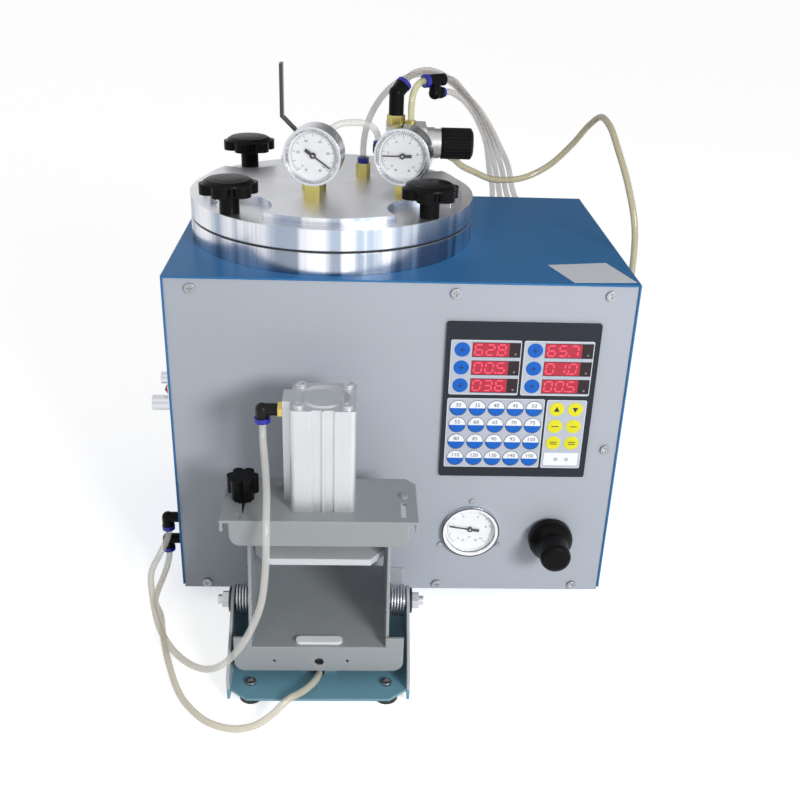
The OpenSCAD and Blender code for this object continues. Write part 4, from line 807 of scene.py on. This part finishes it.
# Dials: name, body, place, turn in degrees, face radius and the step between two numbers
DIALS = (
    ("vacuum_dial", "lid", (-78.4, -71.5, 412.0), -8.0, 20.8, 20),
    ("pressure_dial", "lid", (-1.3, -47.5, 408.0), -12.0, 20.8, 2),
    ("panel_dial", "cabinet", (71.0, -142.0, 81.3), 0.0, 22.8, 2),
)
SCALE_FROM = 225.0
SCALE_TO = -45.0
MARKS = 50
PLATE_FRONT = 6.6
INK_FRONT = 6.55


class WAX_OT_dials(bpy.types.Operator):
    """Makes the printed dials of the three gauges"""
    bl_idname = "wax.dials"
    bl_label = "Dials"

    def execute(self, context):
        v = context.scene.wax_dials
        m = context.scene.wax_metals
        face = material("dial_face", printed, v.face, 0.38)
        ink = material("dial_ink", printed, v.ink, 0.5)
        rim = material("dial_rim", moulded, v.rim, 0.35, 1400.0, v.rim)
        screw = material("dial_screw", drawn, m.steel, 0.3, (1.0, 1.0, 1.0), Metallic=1.0)
        for name, body, spot, turn, radius, step in DIALS:
            place = Matrix.Translation(Vector(spot) * MM) @ Matrix.Rotation(math.radians(turn), 4, "Z")
            build = Build(place)
            build.lathe([(1.3, 6.95), (1.3, PLATE_FRONT), (radius - 0.6, PLATE_FRONT), (radius, 6.75),
                         (radius, 6.95)], 72, 0)
            wall = radius + 0.15
            build.lathe([(wall, 3.1), (wall, PLATE_FRONT), (wall - 0.2, PLATE_FRONT),
                         (wall - 0.2, 3.1)], 72, 0)
            self.scale(build, v, radius, step)
            for x in (-6.0, 6.0):
                build.raised(circle(x, -12.5, 1.25, 16), [(6.62, 1.0), (6.35, 1.0), (6.2, 0.8)], 3)
                build.bar(x - 0.9, x + 0.9, -12.7, -12.3, 6.17, 1)
            if name == "panel_dial":
                build.letters("bar", 2.6, 0.0, -9.0, 6.56, 1)
                build.lathe([(26.9, -0.05), (26.9, -0.45), (26.2, -0.75), (25.8, -0.45),
                             (25.8, -0.05)], 72, 2)
                build.lathe([(25.8, -0.05), (25.8, -0.3), (23.4, -0.18), (23.1, 1.3), (25.0, 0.1)], 72, 0)
            made = build.piece(name, [face, ink, rim, screw])
            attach(made, body)
        return {"FINISHED"}

    def scale(self, build, v, radius, step):
        """Scale marks and numbers, from the first angle to the last."""
        outer = radius - 1.6
        for i in range(MARKS + 1):
            a = math.radians(SCALE_FROM + (SCALE_TO - SCALE_FROM) * i / MARKS)
            half = v.line / MM / 2 * (1.0 if i % 5 == 0 else 0.6)
            inner = outer - (v.major if i % 5 == 0 else v.minor) / MM
            along = Vector((math.cos(a), math.sin(a)))
            across = Vector((-math.sin(a), math.cos(a))) * half
            corners = [along * outer - across, along * outer + across, along * inner + across,
                       along * inner - across]
            build.flat([(p.x, p.y) for p in corners], INK_FRONT, 1)
            if i % 10 == 0:
                at = along * (radius - 7.6)
                build.letters(str(step * i // 10), v.text / MM, at.x, at.y, INK_FRONT, 1)
        parts = 60
        arc = circle(0, 0, radius - 1.4, parts, SCALE_TO, SCALE_FROM)
        arc += circle(0, 0, radius - 1.65, parts, SCALE_FROM, SCALE_TO)
        for i in range(parts):
            build.flat([arc[i], arc[i + 1], arc[-2 - i], arc[-1 - i]], INK_FRONT, 1)


# Displays: the bars that each digit lights, and what the two columns of windows read
SEGMENTS = {"0": "abcdef", "1": "bc", "2": "abged", "3": "abgcd", "5": "afgcd", "6": "afgedc", "7": "abc",
            "8": "abcdefg"}
READINGS = (("62.8", "00.5", "036"), ("65.7", "01.0", "00.5"))

# Key sheet: the windows, each field's edges with the left end of its windows, and the keys
ROWS = (267.0, 250.1, 233.2)
WINDOWS = (61.0, 123.7)
WINDOW_HALF = 6.9
FIELDS = (
    (42.6, 103.2, 224.4, 276.0, WINDOWS[0]),
    (105.6, 166.2, 224.4, 276.0, WINDOWS[1]),
    (42.2, 128.2, 151.8, 220.7, None),
    (130.2, 165.6, 151.5, 220.1, None),
)
OUTLINE = 0.55
FILM = [(-0.05, 1.0), (-0.16, 1.0)]
KEY_FOOT = -0.1
NUMBER_KEY = (52.0, 211.2)
NUMBER_PITCH = (16.8, 16.7)
BLUE_KEYS = (52.4, 115.3)
YELLOW_KEYS = (139.4, 155.9)
YELLOW_ROWS = (211.0, 194.1, 177.4)
DIGIT_PITCH = 9.9


class WAX_OT_keypad(bpy.types.Operator):
    """Makes the printed fields, the domed keys and the lit displays of the controller"""
    bl_idname = "wax.keypad"
    bl_label = "Key sheet"

    def execute(self, context):
        v = context.scene.wax_keypad
        kinds = (("key_field", v.field), ("key_line", v.line), ("key_white", v.white), ("key_blue", v.blue),
                 ("key_yellow", v.yellow), ("key_ink", v.ink))
        prints = [material(name, printed, value, 0.34, Specular_IOR_Level=0.2) for name, value in kinds]
        front = Matrix.Translation((0.0, SHEET_FRONT * MM, 0.0))
        fields = Build(front)
        for row in FIELDS:
            self.field(fields, *row)
        made = fields.piece("key_fields", prints)
        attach(made, "cabinet")
        keys = Build(front)
        self.number_keys(keys, v)
        self.function_keys(keys, v)
        made = keys.piece("membrane_keys", prints)
        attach(made, "cabinet")
        glow = material("display_glow", lit, v.glow, Emission_Strength=0.75)
        digit = material("display_digit", lit, v.digit, Emission_Strength=0.9)
        mark = material("display_mark", printed, (0.55, 0.5, 0.5), 0.4)
        shows = Build(front)
        for column, x in zip(READINGS, WINDOWS):
            for reading, z in zip(column, ROWS):
                self.display(shows, x, z, reading)
        made = shows.piece("lit_displays", [glow, digit, mark])
        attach(made, "cabinet")
        return {"FINISHED"}

    def field(self, build, x0, x1, z0, z1, windows):
        """A printed field with its white outline, open where the windows are."""
        x2 = x0 + OUTLINE
        x3 = x1 - OUTLINE
        z2 = z0 + OUTLINE
        z3 = z1 - OUTLINE
        build.border(rounded(x0, x1, z0, z1, 1.6), rounded(x2, x3, z2, z3, 1.3), 0.02, -0.2, 1)
        if windows is None:
            build.raised(rounded(x2, x3, z2, z3, 1.3), FILM, 0)
            return
        build.raised(rounded(x2, windows, z2, z3, 1.0), FILM, 0)
        edges = [z2] + [z + half for z in reversed(ROWS) for half in (-WINDOW_HALF, WINDOW_HALF)] + [z3]
        for low, high in zip(edges[::2], edges[1::2]):
            build.raised([(windows, low), (x3, low), (x3, high), (windows, high)], FILM, 0)

    def dome(self, v):
        """Levels of a domed key from the sheet to its top, and the depth of the print on it."""
        rise = v.rise / MM
        levels = [(KEY_FOOT, 1.0), (KEY_FOOT - rise * 0.6, 0.97), (KEY_FOOT - rise, 0.86)]
        return levels, KEY_FOOT - rise - 0.04

    def number_keys(self, build, v):
        """Twenty round keys, white above and blue below, each with a number."""
        numbers = [str(n) for n in list(range(30, 101, 5)) + list(range(110, 151, 10))]
        radius = v.key / MM / 2
        levels, top = self.dome(v)
        for i, words in enumerate(numbers):
            x = NUMBER_KEY[0] + NUMBER_PITCH[0] * (i % 5)
            z = NUMBER_KEY[1] - NUMBER_PITCH[1] * (i // 5)
            build.raised(circle(x, z, radius, 20, 0.0, 180.0), levels, 2, (x, z))
            build.raised(circle(x, z, radius, 20, 180.0, 360.0), levels, 3, (x, z))
            build.border(circle(x, z, radius + 0.4, 40), circle(x, z, radius, 40), KEY_FOOT, -0.3, 5)
            build.letters(words, 5.0, x, z + 2.9, top, 5)

    def function_keys(self, build, v):
        """Six blue keys beside the displays, six yellow keys and the blank white key."""
        levels, top = self.dome(v)
        for x in BLUE_KEYS:
            for z in ROWS:
                build.raised(circle(x, z, 6.8), levels, 3)
                build.bar(x - 2.4, x + 2.4, z - 0.35, z + 0.35, top, 5)
                build.bar(x - 0.35, x + 0.35, z - 2.4, z + 2.4, top - 0.01, 5)
        for column, x in enumerate(YELLOW_KEYS):
            for row, z in enumerate(YELLOW_ROWS):
                build.raised(circle(x, z, 6.75), levels, 4)
                if row == 0:
                    up = 1 if column == 0 else -1
                    tri = [(x - 2.6, z - 2.0 * up), (x + 2.6, z - 2.0 * up), (x, z + 2.8 * up)]
                    build.flat(tri if up > 0 else tri[::-1], top, 5)
                else:
                    for k in range(row):
                        low = z - 0.4 + (k - (row - 1) / 2) * 1.9
                        build.bar(x - 3.2, x + 3.2, low, low + 0.8, top, 5)
        build.raised(rounded(132.3, 163.4, 154.3, 167.2, 0.8), [(KEY_FOOT, 1.0), (-0.4, 0.99)], 2)
        for x in (143.3, 152.9):
            build.flat(circle(x, 160.6, 1.9, 20), -0.46, 0)

    def display(self, build, x, z, reading):
        """One lit window: the glow and three slanted seven-segment digits."""
        build.raised(rounded(x + 0.6, x + 32.0, z - 6.3, z + 6.3, 0.5), [(0.02, 1.0), (-0.05, 1.0)], 0)
        build.letters("o", 3.4, x + 37.6, z - 3.6, -0.06, 2)
        spot = x + 2.6
        for mark in reading:
            if mark == ".":
                build.flat(circle(spot - 1.2, z - 4.6, 0.75, 12), -0.10, 1)
                continue
            self.digit(build, spot, z, SEGMENTS[mark])
            spot += DIGIT_PITCH

    def digit(self, build, x, z, parts):
        """The lit bars of one digit."""
        wide = 6.4
        tall = 9.4
        half = 0.62
        bars = {"a": (0, 1, 1, 1), "d": (0, 0, 1, 0), "g": (0, 0.5, 1, 0.5), "f": (0, 0.5, 0, 1),
                "b": (1, 0.5, 1, 1), "e": (0, 0, 0, 0.5), "c": (1, 0, 1, 0.5)}
        for part in parts:
            x0, z0, x1, z1 = bars[part]
            first = Vector((x0 * wide, (z0 - 0.5) * tall))
            second = Vector((x1 * wide, (z1 - 0.5) * tall))
            along = (second - first).normalized()
            across = Vector((-along.y, along.x)) * half
            point = along * half
            first += along * 0.5
            second -= along * 0.5
            corners = [first, first + point - across, second - point - across, second,
                       second - point + across, first + point + across]
            build.flat([(x + p.x + p.y * 0.10, z + p.y) for p in corners], -0.10, 1)


class WAX_OT_trim(bpy.types.Operator):
    """Makes the blank label on the cabinet's top"""
    bl_idname = "wax.trim"
    bl_label = "Small trim"

    def execute(self, context):
        p = context.scene.wax_paints
        label = material("blank_label", printed, p.label, 0.36)
        top = Matrix.Translation((0.0, 0.0, CABINET_TOP * MM))
        build = Build(top @ Matrix.Rotation(math.radians(-90), 4, "X"))
        corners = [(128.6, -89.8), (143.8, -135.0), (197.6, -131.7), (181.9, -80.9)]
        build.raised(corners, [(0.02, 1.0), (-0.12, 1.0), (-0.16, 0.996)], 0)
        made = build.piece("blank_label", [label])
        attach(made, "cabinet")
        return {"FINISHED"}


class WAX_OT_finishes(bpy.types.Operator):
    """Gives every CAD piece its finish"""
    bl_idname = "wax.finishes"
    bl_label = "Finishes"

    def execute(self, context):
        paints = self.paints(context.scene.wax_paints, context.scene.wax_keypad)
        metals = self.metals(context.scene.wax_metals)
        plastics = self.plastics(context.scene.wax_plastics)
        dress = {**paints, **metals, **plastics}
        done = set()
        for finish, nodes in dress.items():
            for name in nodes.split():
                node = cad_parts[name]
                node.data.materials.clear()
                node.data.materials.append(finish)
                done.add(name)
        missing = set(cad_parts) - done - {"press_hose", "push_hose", "lid_hoses", "torsion_springs"}
        if missing:
            raise RuntimeError("no finish for " + ", ".join(sorted(missing)))
        return {"FINISHED"}

    def paints(self, p, k):
        """Painted sheet metal, the key sheet's film and the displays' glass."""
        # The paler edge colours below are painted highlights on the edges; on the enamels they also stand
        # for rubbed paint.
        edge_highlight = (0.75, 0.78, 0.82)
        return {
            material("blue_paint", paint, p.blue, 0.30, 900.0, tint(96, 150, 206), 0.5,
                     Specular_IOR_Level=0.06): "cabinet_shell base_pan",
            material("panel_paint", paint, p.panel, 0.46, 1500.0, edge_highlight, 0.3, Specular_IOR_Level=0.3):
                "front_panel back_panel",
            material("teal_paint", clamp_paint, p.teal, p.ear, TEAL_TOP, 0.34, 900.0,
                     tint(190, 214, 224), 0.6, Specular_IOR_Level=0.3): "clamp_base",
            material("grey_paint", paint, p.grey, 0.36, 1100.0, edge_highlight, 0.55, Specular_IOR_Level=0.35):
                "swing_frame top_plate",
            material("press_paint", paint, p.press, 0.34, 1100.0, edge_highlight, 0.5): "press_plate",
            material("keypad_film", printed, k.film, 0.40, Specular_IOR_Level=0.2): "controller_keypad",
            material("bezel_black", moulded, k.film, 0.40, 1200.0, tint(86, 92, 104),
                     Specular_IOR_Level=0.2): "controller_bezel",
            material("display_glass", printed, k.dark, 0.20, Specular_IOR_Level=0.2): "display_windows",
            material("circuit_board", printed, tint(18, 96, 52), 0.45): "control_board",
        }

    def metals(self, m):
        """Turned, drawn, plated and cast metals."""
        fine = (1.0, 1.0, 0.02)
        even = (1.0, 1.0, 1.0)
        return {
            # The last number of each turned finish is the darkest painted reflection band on its side.
            material("turned_lid", turned, m.turned, 0.28, 0.48, Metallic=1.0): "lid",
            material("turned_flange", turned, m.turned, 0.26, 0.34, Metallic=1.0): "wax_pot",
            material("anodised_aluminium", drawn, m.extruded, 0.46, fine, Metallic=0.75):
                "press_cylinder push_cylinder",
            material("zinc_steel", drawn, m.screw, 0.30, even, Metallic=1.0): "case_screws pivot_bushes",
            material("bolt_steel", bolt, m.steel, 0.30, tint(24, 24, 26)): "pivot_bolts",
            material("rod_steel", drawn, m.chrome, 0.2, fine, Metallic=1.0): "press_rod",
            material("tipped_rod", tipped, m.chrome, 0.2, fine, tint(24, 24, 26)): "push_rod",
            material("bright_metal", drawn, m.bright, 0.24, even, Metallic=1.0):
                "panel_gauge_case lid_gauge_cases side_connectors",
            material("brass", drawn, m.brass, 0.30, even, Metallic=1.0):
                "lid_brass injection_nozzle",
            material("cast_alloy", drawn, m.cast, 0.42, even, Metallic=0.9):
                "lid_regulator valve_block power_supply panel_regulator",
            material("band_steel", drawn, tint(176, 164, 140), 0.45, even, Metallic=0.8): "heater_band",
        }

    def plastics(self, p):
        """Moulded plastics, rubber, the lenses and the needles."""
        # Each finish below gives the painted highlight on its edges as its last colour.
        edge_highlight = (0.10, 0.10, 0.105)
        return {
            material("black_plastic", moulded, p.black, 0.30, 1100.0, edge_highlight, Specular_IOR_Level=0.08):
                "panel_regulator_knob lid_regulator_knob clamp_knob lid_knob_fl lid_knob_fr lid_knob_bl"
                " lid_knob_br hose_fittings lid_fittings power_inlet valve_manifold",
            material("elbow_black", elbow, p.black, tint(200, 180, 104), 0.28, edge_highlight,
                     Specular_IOR_Level=0.2): "cylinder_elbow",
            material("black_rubber", moulded, p.rubber, 0.62, 1600.0, edge_highlight): "rubber_feet pot_gasket",
            material("collar_blue", collars, p.blue, p.black, 0.34, tint(90, 104, 220)):
                "fitting_collars lid_collars cylinder_collar",
            material("white_plastic", moulded, p.white, 0.38, 1300.0, (0.95, 0.95, 0.95)): "mould_stop",
            material("red_plastic", moulded, p.red, 0.30, 1300.0, tint(220, 90, 90)): "power_rocker",
            material("lever_sleeve", moulded, p.vinyl, 0.36, 1200.0, tint(150, 148, 144)): "valve_lever",
            material("needle_black", moulded, p.black, 0.5, 1500.0, edge_highlight):
                "panel_needle vacuum_needle pressure_needle",
            glass("clear_lens"): "panel_gauge_lens lid_gauge_lenses",
        }


class WAX_OT_stage(bpy.types.Operator):
    """Sets the camera, the soft lights and the white floor"""
    bl_idname = "wax.stage"
    bl_label = "Camera and studio"

    def execute(self, context):
        v = context.scene.wax_stage
        scene = context.scene
        scene.view_settings.view_transform = "Standard"
        self.camera(scene, v)
        self.sky(scene, v)
        self.light("key_light", (0.85, -1.6, 0.85), (0.0, -0.15, 0.2), (0.5, 0.4), v.key, scene)
        self.light("fill_light", (-1.7, -0.5, 0.9), (0.0, -0.1, 0.2), (1.0, 1.2), v.fill, scene)
        self.light("strip_light", (-0.75, -1.1, 1.3), (0.0, -0.1, 0.25), (0.12, 0.9), v.strip, scene)
        build = Build()
        rim = circle(0.0, 0.0, v.reach / MM, 64)
        top = [build.point(x, y, -0.05) for x, y in rim]
        low = [build.point(x, y, -20.0) for x, y in rim]
        build.join(low, top, 0)
        build.face(top, 0)
        build.face(low[::-1], 0)
        floor = material("floor_white", pale_floor, v.floor, v.lift, Specular_IOR_Level=0.1,
                         Emission_Strength=1.0)
        build.piece("floor", [floor])
        return {"FINISHED"}

    def camera(self, scene, v):
        """The photograph's camera, from its yaw, pitch and roll."""
        data = bpy.data.cameras.new("camera")
        data.lens = v.lens
        data.sensor_width = 36.0
        data.clip_start = 0.01
        made = bpy.data.objects.new("camera", data)
        scene.collection.objects.link(made)
        aim = Matrix.Rotation(v.yaw, 4, "Z") @ Matrix.Rotation(math.pi / 2 - v.pitch, 4, "X")
        made.matrix_world = Matrix.Translation(v.eye) @ aim @ Matrix.Rotation(v.roll, 4, "Z")
        scene.camera = made

    def sky(self, scene, v):
        """Soft surrounding light, weaker from above, white to the camera, dim on one side in mirrors."""
        world = bpy.data.worlds.new("studio")
        world.use_nodes = True
        scene.world = world
        s = Sock(world.node_tree)
        way = s.node("ShaderNodeTexCoord", out="Generated")
        level = (1.0 - s.part(way, 2).ramp(0.0, 1.0) * 0.3) * v.sky
        dark = s.part(way, 1).ramp(0.0, 0.5) * s.part(way, 0).ramp(-0.2, 0.22) * v.dim
        mirror = 1.0 - s.node("ShaderNodeLightPath", out="Is Glossy Ray") * dark
        shown = seen_rays(s)
        strength = shown * mirror + (1.0 - shown) * level
        background = world.node_tree.nodes["Background"]
        s.feed(background.inputs["Strength"], strength)
        s.feed(background.inputs["Color"], (1.0, 1.0, 1.0))

    def light(self, name, spot, target, size, power, scene):
        """A soft rectangular light aimed at a point."""
        data = bpy.data.lights.new(name, "AREA")
        data.shape = "RECTANGLE"
        data.size = size[0]
        data.size_y = size[1]
        data.energy = power
        made = bpy.data.objects.new(name, data)
        scene.collection.objects.link(made)
        made.location = spot
        made.rotation_euler = (Vector(target) - Vector(spot)).to_track_quat("-Z", "Y").to_euler()


class WAX_PT_panel(bpy.types.Panel):
    """Buttons for each step, in the order they run"""
    bl_idname = "WAX_PT_panel"
    bl_label = "Wax injector"
    bl_space_type = "VIEW_3D"
    bl_region_type = "UI"
    bl_category = "Wax"

    def draw(self, context):
        for step in STEPS:
            self.layout.operator(step.bl_idname)


VALUES = {
    "wax_hoses": WaxHoseValues,
    "wax_springs": WaxSpringValues,
    "wax_dials": WaxDialValues,
    "wax_keypad": WaxKeypadValues,
    "wax_paints": WaxPaintValues,
    "wax_metals": WaxMetalValues,
    "wax_plastics": WaxPlasticValues,
    "wax_stage": WaxStageValues,
}
STEPS = (WAX_OT_stage, WAX_OT_hoses, WAX_OT_springs, WAX_OT_dials, WAX_OT_keypad, WAX_OT_trim,
         WAX_OT_finishes)


def register():
    for group in VALUES.values():
        bpy.utils.register_class(group)
    for name, group in VALUES.items():
        setattr(bpy.types.Scene, name, PointerProperty(type=group))
    for step in STEPS:
        bpy.utils.register_class(step)
    bpy.utils.register_class(WAX_PT_panel)


def unregister():
    bpy.utils.unregister_class(WAX_PT_panel)
    for step in reversed(STEPS):
        bpy.utils.unregister_class(step)
    for name in VALUES:
        delattr(bpy.types.Scene, name)
    for group in reversed(list(VALUES.values())):
        bpy.utils.unregister_class(group)


def main():
    register()
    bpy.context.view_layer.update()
    bpy.ops.wax.stage()
    bpy.ops.wax.hoses()
    bpy.ops.wax.springs()
    bpy.ops.wax.dials()
    bpy.ops.wax.keypad()
    bpy.ops.wax.trim()
    bpy.ops.wax.finishes()


if __name__ == "__main__":
    main()
